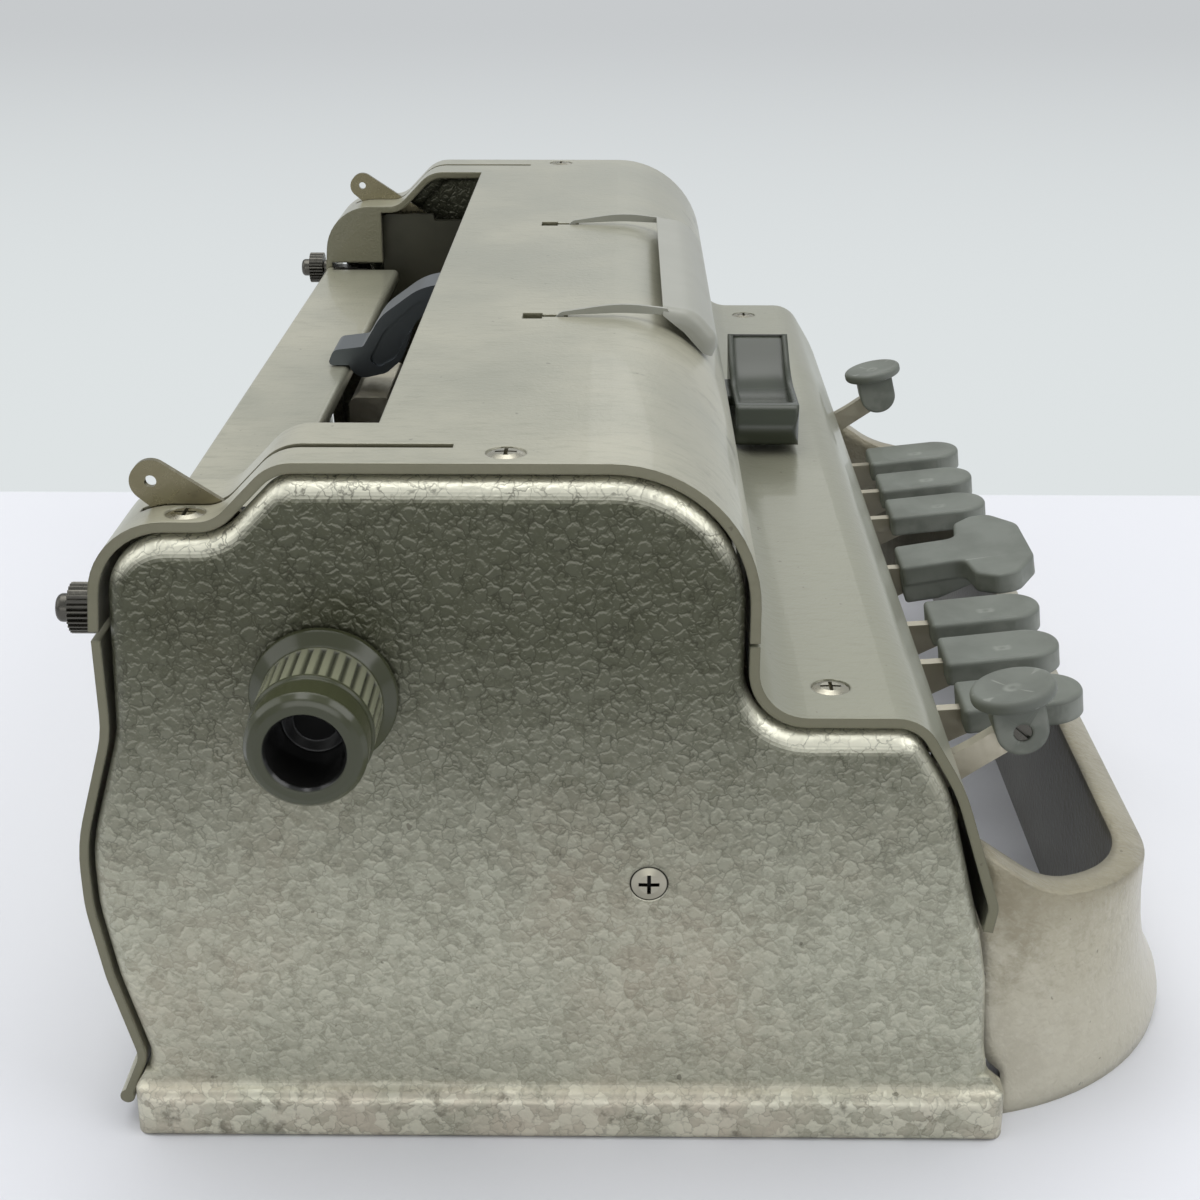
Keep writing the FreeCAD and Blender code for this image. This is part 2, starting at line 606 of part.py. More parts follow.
def build_dot_key(x):
    half = CAP_W / 2
    length = CAP_REAR_Y - CAP_TIP_Y
    round_end = half * 0.98
    plan = [(x - half, CAP_REAR_Y, 1.2), (x - half, CAP_TIP_Y, round_end), (x + half, CAP_TIP_Y, round_end),
            (x + half, CAP_REAR_Y, 1.2)]
    cap = slab_z(face_of(plan, in_xy), CAP_REAR_Z - CAP_H, CAP_REAR_Z)
    rim = [edge for edge in cap.Edges if edge.BoundBox.ZMin > CAP_REAR_Z - 1e-4]
    cap = cap.makeFillet(1.0, rim)
    middle_y = CAP_REAR_Y - length * 0.52
    dish_r = 34.0
    dish = Part.makeCylinder(dish_r, length + 12, vec(x, CAP_TIP_Y + 3.2, CAP_REAR_Z - CAP_DISH + dish_r), vec(0, 1, 0))
    ball = Part.makeSphere(dish_r + 26, vec(x, middle_y, CAP_REAR_Z - CAP_DISH + dish_r + 26))
    cap = cap.cut(dish.common(ball))
    cap = tilted(cap, CAP_TILT, (CAP_REAR_Y, CAP_REAR_Z))
    return cap.cut(lever_socket(x))


def build_space_key():
    half = CAP_W / 2
    near, front = SPACE_PAD_Y
    pad = SPACE_PAD_HALF
    plan = [(-half, SPACE_REAR_Y, 1.2), (-half, near + 1.5, 3), (-pad + 4, near, 3), (-pad, near - 5, 3),
            (-pad, front + 6.5, 5), (-pad + 11, front, 8), (pad - 11, front, 8), (pad, front + 6.5, 5),
            (pad, near - 5, 3), (pad - 4, near, 3), (half, near + 1.5, 3), (half, SPACE_REAR_Y, 1.2)]
    key = slab_z(face_of(plan, in_xy), CAP_REAR_Z - 5.4, CAP_REAR_Z)
    rim = [edge for edge in key.Edges if edge.BoundBox.ZMin > CAP_REAR_Z - 1e-4]
    key = key.makeFillet(0.9, rim)
    web = slab_x(face_of([(SPACE_REAR_Y, CAP_REAR_Z - 3, 0), (near - 12, CAP_REAR_Z - 3, 0),
                          (near - 8, CAP_REAR_Z - 5.6, 3), (SPACE_REAR_Y - 9, CAP_REAR_Z - 10.5, 4),
                          (SPACE_REAR_Y, CAP_REAR_Z - 10.5, 1)]), -half + 0.6, half - 0.6)
    key = tilted(key.fuse(web), SPACE_TILT, (SPACE_REAR_Y, CAP_REAR_Z))
    return key.cut(lever_socket(0))


def disc_lever_outline():
    return [(38, 44, 3), (38, 56, 3), (-70, 58.6, 14), (-84.0, 67.0, 6), (-91.0, 71.8, 0), (-93.6, 66.6, 0),
            (-86.0, 61.4, 6), (-72, 51.5, 14), (20, 43.5, 6)]


def build_disc_lever(x):
    outline = disc_lever_outline()
    outline.reverse()
    lever = slab_x(face_of(outline), x - LEVER_WALL / 2, x + LEVER_WALL / 2)
    return lever.cut(rod_x(KEY_AXIS, KEY_SHAFT_R + RUN, x - 5, x + 5))


def boss_point(down):
    angle = math.radians(DISC_TILT)
    return (DISC_Y - down * math.sin(angle), DISC_Z - down * math.cos(angle))


def build_disc_key(side):
    """Round finger disc on a boss that is clamped to its arm; the set screw is on the outer side."""
    x = side * DISC_X
    disc = Part.makeCylinder(DISC_R, DISC_H, vec(x, DISC_Y, DISC_Z - DISC_H))
    rim = [edge for edge in disc.Edges if edge.BoundBox.ZLength < 1e-4]
    disc = disc.makeFillet(1.1, rim)
    dish = Part.makeSphere(46, vec(x, DISC_Y, DISC_Z - 0.7 + 46))
    disc = disc.cut(dish)
    boss = slab_x(face_of([(DISC_Y - BOSS_R, DISC_Z - 14.4, BOSS_R - 0.1), (DISC_Y + BOSS_R, DISC_Z - 14.4, BOSS_R - 0.1),
                           (DISC_Y + BOSS_R, DISC_Z - 1.5, 0), (DISC_Y - BOSS_R, DISC_Z - 1.5, 0)]),
                  x - BOSS_W / 2, x + BOSS_W / 2)
    key = tilted(disc.fuse(boss), DISC_TILT, (DISC_Y, DISC_Z))
    wide = LEVER_WALL / 2 + SOCKET_FIT
    room = disc_lever_outline()
    room.reverse()
    key = key.cut(slab_x(face_of(shift_path(room, -SOCKET_FIT, closed=True)), x - wide, x + wide))
    key = key.cut(build_disc_lever(x))
    spot = boss_point(SET_SCREW_DOWN)
    bore = rod_x(spot, 2.0, x + side * (LEVER_WALL / 2), x + side * (BOSS_W / 2 + 1))
    return key.cut(bore)


def build_set_screw(side):
    x = side * DISC_X
    spot = boss_point(SET_SCREW_DOWN)
    inner, outer = LEVER_WALL / 2 + FREE, BOSS_W / 2 - 0.3
    pin = rod_x(spot, 1.9, x + side * inner, x + side * outer)
    slot = block((x + side * (outer - 0.8), x + side * (outer + 1)), (spot[0] - 3, spot[0] + 3),
                 (spot[1] - 0.35, spot[1] + 0.35))
    slot = turn_about_x(slot, spot, -side * 40)
    return pin.cut(slot)


def build_key_comb():
    """Slotted guide bar that keeps the key levers upright, standing on the base plate."""
    half = FRAME_INNER - FREE
    foot_top = BASE_FLOOR + BASE_WALL
    bar = block((-half, half), (-58, -54), (foot_top, 66))
    foot = block((-half, half), (-66, -54), (foot_top, foot_top + 2))
    slots = [block((x - LEVER_WALL / 2 - FREE, x + LEVER_WALL / 2 + FREE), (-60, -50), (40, 70))
             for x in lever_columns()]
    window = block((-half + 12, half - 12), (-60, -50), (foot_top + 6, 36))
    return bar.fuse(foot).cut(slots + [window]).removeSplitter()


def build_key_springs():
    """Comb of leaf springs on the base plate, one finger under each key lever."""
    foot_top = BASE_FLOOR + BASE_WALL
    strip = block((-140, 140), (-30, -18), (foot_top, foot_top + 1))
    finger = [(-20, foot_top + 0.2, 0), (-6, foot_top + 1.0, 0), (14, 40, 6), (2, 42.6, 3)]
    path = [(y, z, r) for y, z, r in finger]
    face = band_face(path, 0.8)
    leaves = [slab_x(face, x - 3, x + 3) for x in lever_columns()]
    return strip.fuse(leaves).removeSplitter()


# ---------------------------------------------------------------- paper feed
def build_paper_drum():
    """Feed roller: a sleeve on the shaft that carries the knobs."""
    shaft = rod_x(DRUM_AXIS, SHAFT_R, -SHAFT_HALF, SHAFT_HALF)
    bore = SHAFT_R + SLEEVE_FIT
    profile = [(-DRUM_HALF, bore), (-DRUM_HALF, DRUM_R - 1), (-DRUM_HALF + 1, DRUM_R), (DRUM_HALF - 1, DRUM_R),
               (DRUM_HALF, DRUM_R - 1), (DRUM_HALF, bore)]
    return [shaft, spin_x(profile, DRUM_AXIS)]


def build_knob(side):
    start = PLATE_FACE + FREE
    ribbed = start + KNOB_FLANGE_W
    smooth = ribbed + KNOB_RIBBED
    profile = [(start, SHAFT_R), (start, KNOB_FLANGE_R - 0.8), (start + 0.8, KNOB_FLANGE_R),
               (start + 1.9, KNOB_FLANGE_R - 0.1), (ribbed, KNOB_R + 0.5), (ribbed + 0.5, KNOB_R), (smooth, KNOB_R),
               (smooth + 0.3, KNOB_END_R), (KNOB_END - 1.6, KNOB_END_R), (KNOB_END - 0.4, KNOB_END_R - 0.9),
               (KNOB_END, KNOB_END_R - 2.0), (KNOB_END, KNOB_HOLE_R + 0.6), (KNOB_END - 0.8, KNOB_HOLE_R),
               (SHAFT_HALF, KNOB_HOLE_R - 0.6), (SHAFT_HALF, SHAFT_R)]
    knob = spin_x(profile, DRUM_AXIS)
    flutes = []
    for i in range(KNOB_FLUTES):
        spot = polar(DRUM_AXIS, KNOB_R + 0.15, 360.0 * i / KNOB_FLUTES)
        flutes.append(rod_x(spot, FLUTE_R, ribbed + 1.2, smooth - 0.8))
    knob = knob.cut(flutes)
    return knob if side > 0 else mirror_x(knob)


def build_ratchet():
    face = toothed_face(DRUM_AXIS, RATCHET_R, 1.6, RATCHET_TEETH, in_yz)
    wheel = slab_x(face, RATCHET_X, RATCHET_X + RATCHET_W)
    return wheel.cut(rod_x(DRUM_AXIS, SHAFT_R, 0, FAR))


def build_line_pawl():
    """Spring pawl that drops on the ratchet wheel from above, on a stub of the inner frame."""
    tip = (DRUM_AXIS[0] - 1.0, DRUM_AXIS[1] + RATCHET_R + FREE)
    outline = [(24.5, 118.2, 2.8), (24.5, 111.8, 2.8), (38, 112.5, 3), (tip[0] - 1.5, tip[1], 0), (tip[0] + 0.8, tip[1], 0),
               (tip[0] + 1.5, tip[1] + 4, 2), (36, 117.5, 3)]
    pawl = slab_x(face_of(outline), RATCHET_X, RATCHET_X + PAWL_W)
    return pawl.cut(rod_x(PAWL_AXIS, PAWL_STUD_R + RUN, 0, FAR))


def build_pinch_roller():
    axis = pinch_axis()
    end = FRAME_INNER + FRAME_WALL + 1
    profile = [(-end, 0), (-end, PINCH_PIN_R), (-PINCH_HALF, PINCH_PIN_R), (-PINCH_HALF, PINCH_R),
               (PINCH_HALF, PINCH_R), (PINCH_HALF, PINCH_PIN_R), (end, PINCH_PIN_R), (end, 0)]
    return spin_x(profile, axis)


def build_release_lever(side):
    """Strip lever, tapered from the round tab to the hub on the cross shaft."""
    length = math.hypot(RELEASE_TAB[0] - RELEASE_AXIS[0], RELEASE_TAB[1] - RELEASE_AXIS[1])
    angle = math.degrees(math.atan2(RELEASE_TAB[1] - RELEASE_AXIS[1], RELEASE_TAB[0] - RELEASE_AXIS[0]))
    root, tab = 4.2, RELEASE_TAB_R
    outline = [(-root, -root, root - 0.6), (8, -3.1, 8), (28, -3.1, 14), (40, -4.9, 12),
               (length + tab, -tab, tab - 0.1), (length + tab, tab, tab - 0.1), (42, 6.2, 16),
               (8, 3.4, 8), (-root, root, root - 0.6)]
    lever = slab_x(face_of(outline), RELEASE_X - RELEASE_WALL / 2, RELEASE_X + RELEASE_WALL / 2)
    lever = lever.cut([rod_x((length, 0), RELEASE_HOLE_R, 0, FAR), rod_x((0, 0), RELEASE_SHAFT_R + RUN, 0, FAR)])
    lever = turn_about_x(lever, (0, 0), angle)
    lever.translate(vec(0, RELEASE_AXIS[0], RELEASE_AXIS[1]))
    return lever if side > 0 else mirror_x(lever)


def build_release_shaft():
    end = RELEASE_X + RELEASE_WALL / 2 + 1
    return rod_x(RELEASE_AXIS, RELEASE_SHAFT_R, -end, end)


# ---------------------------------------------------------------- carriage
def build_rails():
    end = FRAME_INNER + FRAME_WALL
    return [rod_x(RAIL_UP, RAIL_R, -end, end), rod_x(RAIL_LOW, RAIL_R, -end, end)]


def build_carriage_body():
    outline = [(-31.5, 81, 1), (-18, 81, 3), (-3, 92, 4), (0, 110, 8), (15, 116, 4), (15, 130.5, 4), (-3, 130.5, 6),
               (-17, 108, 8), (-20, 89, 3), (-31.5, 88.4, 1)]
    body = slab_x(face_of(outline), CARRIAGE_X - CARRIAGE_HALF, CARRIAGE_X + CARRIAGE_HALF)
    holes = [rod_x(RAIL_UP, RAIL_R + RUN, -40, 90), rod_x(RAIL_LOW, RAIL_R + RUN, -40, 90)]
    fork = block((CARRIAGE_X - 9 - FREE, CARRIAGE_X + 9 + FREE), (-40, -22), (70, 92))
    pin = rod_x(LEVER_AXIS, LEVER_PIN_R, CARRIAGE_X - 13, CARRIAGE_X + 13)
    return body.cut(holes + [fork]).fuse(pin)


def build_embossing_head():
    """Polished arm that reaches back over the drum and ends in the embossing foot."""
    under = [(12, 128.5, 0), (38, 128.6, 12), (46.5, 123.0, 12), (50.0, 112.5, 6), (54.5, 108.6, 4),
             (61.5, 107.0, 4), (64.0, 109.2, 1.0), (64.6, 110.8, 0.6), (70.6, 110.8, 1.0)]
    over = [(68.8, 115.0, 2.2), (60.6, 116.0, 1.4), (55.6, 124.4, 14), (44.5, 132.4, 16), (30, 134.6, 20),
            (12, 134.6, 0)]
    arm = slab_x(face_of(under + over), HEAD_X[0], HEAD_X[1])
    scoop = face_of([(40, 125.0, 2), (48.4, 119.6, 4), (51.8, 112.8, 3), (56.5, 110.2, 1.6), (59.2, 112.2, 1.6),
                     (54.6, 120.6, 8), (45.0, 128.8, 8), (40, 129.5, 1)])
    return arm.cut([slab_x(scoop, HEAD_X[0] - 1, HEAD_X[0] + 1.2), build_carriage_body()])


def build_jaw():
    """Lower jaw of the carriage under the paper, with its bright top edge by the table."""
    low = [(-14, 83.6, 0), (54, 83.6, 6), (64.1, 92, 4), (64.1, 103.6, 2.2), (53.6, 103.6, 0.8), (53.6, 92, 3),
           (46, 86.8, 3), (-14, 86.8, 0)]
    jaw = slab_x(face_of(low), JAW_X[0], JAW_X[1])
    return jaw.cut(build_carriage_body())


def build_carriage_lever():
    """Finger piece over the deck with a scooped top, on a plate that comes out under the top cover."""
    x0, x1 = LEVER_X
    rear, front = LEVER_Y
    block_end = x0 + LEVER_LIP_W
    profile = [(x0 + 2.0, LEVER_BASE_Z, 2.5), (x1 - 5, LEVER_BASE_Z, 1), (x1 - 3, LEVER_PEAK_Z - 7, 8),
               (x1, LEVER_PEAK_Z, 0.8), (x1 - 20, LEVER_LIP_Z - 0.6, 45), (x0 + 3.2, LEVER_LIP_Z, 2.2),
               (x0, LEVER_LIP_Z - 6.0, 5)]
    finger = slab_y(face_of(profile, in_xz), front, rear)
    plan = [(x0 - 1, front, LEVER_CORNER_R), (x1 + 1, front, 3), (x1 + 1, rear, 0), (x0 - 1, rear, 2)]
    finger = finger.common(slab_z(face_of(plan, in_xy), 90, 120))
    scoop = [(block_end, LEVER_LIP_Z - 0.3, 0), (block_end + 3.5, LEVER_LIP_Z - 3.6, 6),
             (x1 - 18, LEVER_LIP_Z - 3.2, 45), (x1 - 1.0, LEVER_PEAK_Z - 1.5, 0), (x1 - 1.0, LEVER_PEAK_Z + 6, 0),
             (block_end, LEVER_PEAK_Z + 6, 0)]
    finger = finger.cut(slab_y(face_of(scoop, in_xz), front + LEVER_RIM, rear - LEVER_RIM))
    middle = CARRIAGE_X
    low, high = DECK_SLOT_Z + 2.4, DECK_SLOT_Z + 5.0
    inner = FRONT_Y + COVER_WALL + 1.6
    stem = slab_x(face_of([(-23.4, 81.8, 1), (-23.4, 86.4, 1), (inner + 2.6, 87.4, 2), (inner + 2.6, high, 1.5),
                           (rear - 0.8, high, 0), (rear - 0.8, low, 0), (inner, low, 0.5), (inner, 84.4, 2),
                           (-30, 81.8, 1)]),
                  middle - 9, middle + 9)
    lever = finger.fuse(stem)
    return lever.cut(rod_x(LEVER_AXIS, LEVER_PIN_R + RUN, -20, 90))


def build_spacing_rack():
    half = FRAME_INNER - FREE
    bar = block((-half, half), RACK_Y, RACK_Z)
    notches = []
    for i in range(CELLS):
        x = (i - (CELLS - 1) / 2) * RACK_PITCH
        points = [(x - 2.2, RACK_Z[1] + 1), (x + 0.4, RACK_Z[1] + 1), (x + 0.4, RACK_Z[1] - 2.4)]
        face = Part.Face(Part.makePolygon([in_xz(*point) for point in points + points[:1]]))
        notches.append(slab_y(face, RACK_Y[0] - 1, RACK_Y[1] + 1))
    return bar.cut(notches)


def build_mainspring_drum():
    bore = SPRING_ARBOR_R + RUN
    profile = [(SPRING_X[0], bore), (SPRING_X[0], SPRING_R + 1.5), (SPRING_X[0] + 1.5, SPRING_R + 1.5),
               (SPRING_X[0] + 2.0, SPRING_R), (SPRING_X[1] - 2.0, SPRING_R), (SPRING_X[1] - 1.5, SPRING_R + 1.5),
               (SPRING_X[1], SPRING_R + 1.5), (SPRING_X[1], bore)]
    return spin_x(profile, SPRING_AXIS)


# ---------------------------------------------------------------- reading rest
def rest_shell(outer_path, depth):
    """Closed shape between the strip's outer line and the face of the cover."""
    inner = [(-29.0, 133.4, 0), (-24.6, 138.4, 4), (-19.6, TOP_Z + 0.4, 0)]
    return face_of(shift_path(outer_path + inner, depth, closed=True))


def build_reading_rest():
    """Pressed strip with rounded closed ends against the front of the top cover, on two thin arms."""
    half = REST_X + 1.6
    strip_path = [(-19.6, 144.2, 0), (-27.4, 143.0, 8), (-33.0, 136.4, 4.0), (-31.4, 132.2, 0)]
    shell = slab_x(rest_shell(strip_path, 0.0), -half, half)
    ends = [edge for edge in shell.Edges if edge.BoundBox.XLength < 1e-4 and abs(edge.BoundBox.XMin) > half - 1e-3
            and edge.BoundBox.YMax < -26 and edge.BoundBox.ZMax > 136.6]
    shell = shell.makeFillet(3.2, ends)
    hollow = block((-half + REST_WALL, half - REST_WALL), (-40, 0), (120, 150))
    inside = slab_x(face_of(shift_path(strip_path, REST_WALL) + [(-26.4, 128.0, 0), (-16.0, 128.0, 0)]), -half, half)
    shell = shell.cut(inside.common(hollow))
    arm_path = [(REST_AXIS[0] + 1.2, REST_AXIS[1] - 2.0, 0), (4.4, 143.0, 2.2), (-10, 145.2, 40), (-20.5, 143.9, 0),
                (-21.5, TOP_Z + 0.4, 0), (-10, TOP_Z + 0.9, 40), (3.6, TOP_Z + 0.3, 0.4), (3.6, 140.5, 0),
                (REST_AXIS[0] - 2.0, REST_AXIS[1] - 1.5, 0)]
    arm = slab_x(face_of(arm_path), REST_X - REST_WALL / 2, REST_X + REST_WALL / 2)
    eye = rod_x(REST_AXIS, REST_EYE_R, REST_X - REST_WALL / 2, REST_X + REST_WALL / 2)
    arm = arm.fuse(eye).cut(rod_x(REST_AXIS, REST_ROD_R + RUN, 50, 65))
    return shell.fuse(both_sides(arm)).removeSplitter()


def build_rest_hinge():
    rod = rod_x(REST_AXIS, REST_ROD_R, -REST_X - 6, REST_X + 6)
    roof = TOP_Z - COVER_WALL
    tabs = []
    for side in (-1, 1):
        for offset in (-5.0, 2.4):
            x = side * REST_X + offset
            tabs.append(block((x, x + 2.6), (REST_AXIS[0] - 2, REST_AXIS[0] + 8), (REST_AXIS[1] - 2.2, roof)))
    return rod.fuse(tabs).removeSplitter()


# ---------------------------------------------------------------- margin stops
def build_margin_bar():
    end = PLATE_INNER
    return rod_x(MARGIN_AXIS, MARGIN_BAR_R, -end, end)


def build_margin_stop(side):
    x = side * MARGIN_X
    half = MARGIN_W / 2
    slider = slab_x(face_of([(MARGIN_AXIS[0] - 4, MARGIN_AXIS[1] - 4, 1), (MARGIN_AXIS[0] + 4, MARGIN_AXIS[1] - 4, 1),
                             (MARGIN_AXIS[0] + 4, SLIT_HIGH - 0.4, 0), (MARGIN_AXIS[0] - 4, SLIT_HIGH - 0.4, 1)]),
                    x - half, x + half)
    tab = block((x - half + 1, x + half - 1), (MARGIN_AXIS[0], MARGIN_NUT_Y[0] - 0.6),
                (SLIT_LOW + FREE, SLIT_HIGH - FREE))
    middle = (SLIT_LOW + SLIT_HIGH) / 2
    shank = rod_y(x, middle, MARGIN_PIN_R, REAR_Y + 0.2, MARGIN_HEAD_Y - 1.2)
    seat = rod_y(x, middle, 2.6, REAR_Y + 0.2, MARGIN_NUT_Y[0] - FREE)
    head = rod_y(x, middle, MARGIN_HEAD_R, MARGIN_NUT_Y[1] + FREE, MARGIN_HEAD_Y)
    rim = [edge for edge in head.Edges if edge.BoundBox.YMin > MARGIN_HEAD_Y - 1e-4]
    head = head.makeFillet(1.2, rim)
    stop = slider.fuse([tab, shank, seat, head])
    return stop.cut(rod_x(MARGIN_AXIS, MARGIN_BAR_R + RUN, x - 9, x + 9)).removeSplitter()


def build_margin_nut(side):
    x = side * MARGIN_X
    middle = (SLIT_LOW + SLIT_HIGH) / 2
    face = toothed_face((x, middle), MARGIN_NUT_R, 0.5, KNURL_TEETH, in_xz)
    nut = slab_y(face, MARGIN_NUT_Y[0], MARGIN_NUT_Y[1])
    return nut.cut(rod_y(x, middle, MARGIN_PIN_R + RUN, 80, 100))


# ---------------------------------------------------------------- bell
def build_bell():
    x, y, z = BELL
    outer = [(0, BELL_R * 0.62), (BELL_R * 0.45, BELL_R * 0.55), (BELL_R * 0.85, BELL_R * 0.25), (BELL_R, 0)]
    inner = [(BELL_R - BELL_WALL, 0), (BELL_R * 0.78, BELL_R * 0.2), (BELL_R * 0.4, BELL_R * 0.47),
             (0, BELL_R * 0.62 - BELL_WALL)]
    points = [vec(r, 0, h) for r, h in outer + inner]
    dome = Part.Face(Part.makePolygon(points + points[:1])).revolve(vec(0, 0, 0), vec(0, 0, 1), 360)
    dome.translate(vec(x, y, z))
    post = rod_z(x, y, BELL_POST_R, BASE_FLOOR + BASE_WALL, z + BELL_R * 0.62 + 1.5)
    return dome.fuse(post).removeSplitter()


def build_bell_hammer():
    x0, x1 = HAMMER_X
    arm = slab_x(face_of([(40, 36, 2), (66, 36, 3), (66, 44, 3), (44, 42, 4), (40, 42, 2)]), x0, x1)
    arm = arm.cut(rod_x((43, 39), 1.5 + RUN, x0 - 1, x1 + 1))
    pin = rod_x((62, 40), 3.0, x0 - 6.4, x0)
    return arm.fuse(pin).removeSplitter()


def build_hammer_post():
    x0, x1 = HAMMER_X
    foot_top = BASE_FLOOR + BASE_WALL
    post = block((x1 + FREE, x1 + FREE + 4), (40, 46), (foot_top, 42))
    pin = rod_x((43, 39), 1.5, x0 - 1, x1 + 2)
    return post.fuse(pin).removeSplitter()


# ---------------------------------------------------------------- all nodes
def build_all():
    plate = build_side_plate()
    cover_screw = screw(SCREW_R, SCREW_SHANK_R, SCREW_DEEP)
    side_spots = [vec(side * PLATE_FACE, SIDE_SCREW[0], SIDE_SCREW[1]) for side in (-1, 1)]
    nodes = {
        "right_side_plate": [plate],
        "left_side_plate": [mirror_x(plate)],
        "top_cover": [build_top_cover()],
        "deck_cover": [build_deck_cover()],
        "rear_cover": [build_rear_cover()],
        "paper_table": [build_paper_table()],
        "base_plate": [build_base_plate()],
        "handle": [build_handle()],
        "rubber_feet": build_feet(),
        "inner_frames": build_inner_frames(),
        "cover_screws": [place_screw(cover_screw, spot, normal) for spot, normal in cover_screw_places()],
        "side_screws": [place_screw(cover_screw, spot, vec(math.copysign(1, spot.x), 0, 0)) for spot in side_spots],
        "key_shaft": [rod_x(KEY_AXIS, KEY_SHAFT_R, -FRAME_INNER - FRAME_WALL, FRAME_INNER + FRAME_WALL)],
        "key_comb": [build_key_comb()],
        "key_springs": [build_key_springs()],
        "space_key": [build_space_key()],
        "space_lever": [build_lever(0)],
        "paper_drum": build_paper_drum(),
        "left_knob": [build_knob(-1)],
        "right_knob": [build_knob(1)],
        "ratchet_wheel": [build_ratchet()],
        "line_pawl": [build_line_pawl()],
        "pinch_roller": [build_pinch_roller()],
        "left_release_lever": [build_release_lever(-1)],
        "right_release_lever": [build_release_lever(1)],
        "release_shaft": [build_release_shaft()],
        "carriage_rails": build_rails(),
        "carriage_body": [build_carriage_body()],
        "embossing_head": [build_embossing_head()],
        "embossing_jaw": [build_jaw()],
        "carriage_lever": [build_carriage_lever()],
        "spacing_rack": [build_spacing_rack()],
        "mainspring_drum": [build_mainspring_drum()],
        "reading_rest": [build_reading_rest()],
        "rest_hinge": [build_rest_hinge()],
        "margin_bar": [build_margin_bar()],
        "bell_gong": [build_bell()],
        "bell_hammer": [build_bell_hammer()],
    }
    for side, name in ((-1, "left"), (1, "right")):
        nodes[name + "_margin_stop"] = [build_margin_stop(side)]
        nodes[name + "_margin_nut"] = [build_margin_nut(side)]
    for side, name in ((-1, "line"), (1, "back")):
        nodes[name + "_key"] = [build_disc_key(side)]
        nodes[name + "_lever"] = [build_disc_lever(side * DISC_X)]
        nodes[name + "_set_screw"] = [build_set_screw(side)]
    for number, x in enumerate(DOT_X, 1):
        nodes["dot_key_%d" % number] = [build_dot_key(-x)]
        nodes["dot_lever_%d" % number] = [build_lever(-x)]
        nodes["dot_key_%d" % (number + 3)] = [build_dot_key(x)]
        nodes["dot_lever_%d" % (number + 3)] = [build_lever(x)]
    return nodes


def save(nodes):
    os.makedirs("parts", exist_ok=True)
    whole = FreeCAD.BoundBox()
    for name, shapes in nodes.items():
        solids = [solid for shape in shapes for solid in shape.Solids]
        shape = solids[0] if len(solids) == 1 else Part.makeCompound(solids)
        shape.translate(vec(0, FRAME_Y, 0))
        whole.add(shape.BoundBox)
        print(name, "solids", len(solids), "volume", round(shape.Volume), "valid", shape.isValid())
        shape.exportStep("parts/%s.step" % name)
    print("whole", whole)


save(build_all())
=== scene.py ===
import math

import bmesh
import bpy
from mathutils import Matrix, Vector


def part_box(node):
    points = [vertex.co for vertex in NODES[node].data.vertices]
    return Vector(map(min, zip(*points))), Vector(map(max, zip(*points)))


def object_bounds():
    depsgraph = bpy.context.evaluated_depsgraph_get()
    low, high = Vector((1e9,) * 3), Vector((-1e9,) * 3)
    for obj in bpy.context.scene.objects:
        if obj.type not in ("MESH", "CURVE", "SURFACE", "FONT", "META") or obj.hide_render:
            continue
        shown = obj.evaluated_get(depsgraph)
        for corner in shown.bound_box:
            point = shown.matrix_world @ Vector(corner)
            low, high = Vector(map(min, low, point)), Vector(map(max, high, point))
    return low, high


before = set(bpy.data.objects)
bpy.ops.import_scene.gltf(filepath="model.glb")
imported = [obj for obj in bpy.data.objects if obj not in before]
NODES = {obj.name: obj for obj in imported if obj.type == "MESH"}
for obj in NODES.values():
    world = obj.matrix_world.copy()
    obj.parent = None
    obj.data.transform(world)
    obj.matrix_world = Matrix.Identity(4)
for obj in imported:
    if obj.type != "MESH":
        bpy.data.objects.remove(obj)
CAD_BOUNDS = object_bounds()

# ---------------------------------------------------------------- colours, as sRGB 0..255
PAINT = (164, 164, 146)
PAINT_LIGHT = (200, 196, 176)
PAINT_PALE = (212, 212, 192)
PAINT_WARM = (184, 168, 148)
PAINT_DARK = (120, 119, 100)
# painted shade that darkens the end plates upwards, for the dark room they reflect
PAINT_UPPER_SHADE = (48, 51, 24)
# pale for painted highlights and painted light on the flakes, and for pale flecks on the foot bead
PAINT_HIGHLIGHT_AND_FLECK = (248, 246, 226)
PAINT_VEIN = (38, 36, 20)
# lighter colour of the foot bead: painted light from the bright floor, mottled with wear
BEAD_LIGHT_AND_WEAR = (206, 196, 178)
COVER = (155, 155, 137)
COVER_DARK = (134, 134, 114)
# painted shade on the cut ends of the covers
COVER_EDGE_SHADE = (104, 101, 76)
# the deck's enamel a little darker than the covers': painted shade for the dark things that the deck
# reflects
DECK_SHADED = (150, 150, 132)
HANDLE = (177, 171, 147)
HANDLE_LIGHT = (206, 202, 186)
HANDLE_DARK = (136, 127, 102)
# painted shade inside the handle
HANDLE_INNER_SHADE = (66, 63, 52)
REST = (156, 157, 147)
GRIME = (74, 68, 54)
KEY = (112, 117, 109)
KEY_WORN = (140, 144, 136)
KNOB = (62, 65, 44)
# painted highlight on the knobs' rib crests and painted shade in their grooves
KNOB_CREST_HIGHLIGHT = (134, 136, 114)
KNOB_GROOVE_SHADE = (38, 40, 30)
FINGER = (58, 63, 51)
NICKEL = (172, 168, 152)
NICKEL_STAIN = (98, 90, 70)
RELEASE_NICKEL = (128, 122, 98)
RELEASE_STAIN = (92, 84, 60)
LEVER_NICKEL = (196, 190, 172)
LEVER_STAIN = (150, 138, 104)
STEEL = (150, 154, 160)
HEAD_STEEL = (98, 103, 106)
NUT = (92, 90, 84)
BRASS = (176, 142, 84)
DARK = (30, 30, 29)
FRAME_PAINT = (78, 77, 60)
RUBBER = (24, 24, 24)
FLOOR = (230, 232, 238)
WALL = (199, 202, 204)
WALL_NEAR = (222, 227, 228)

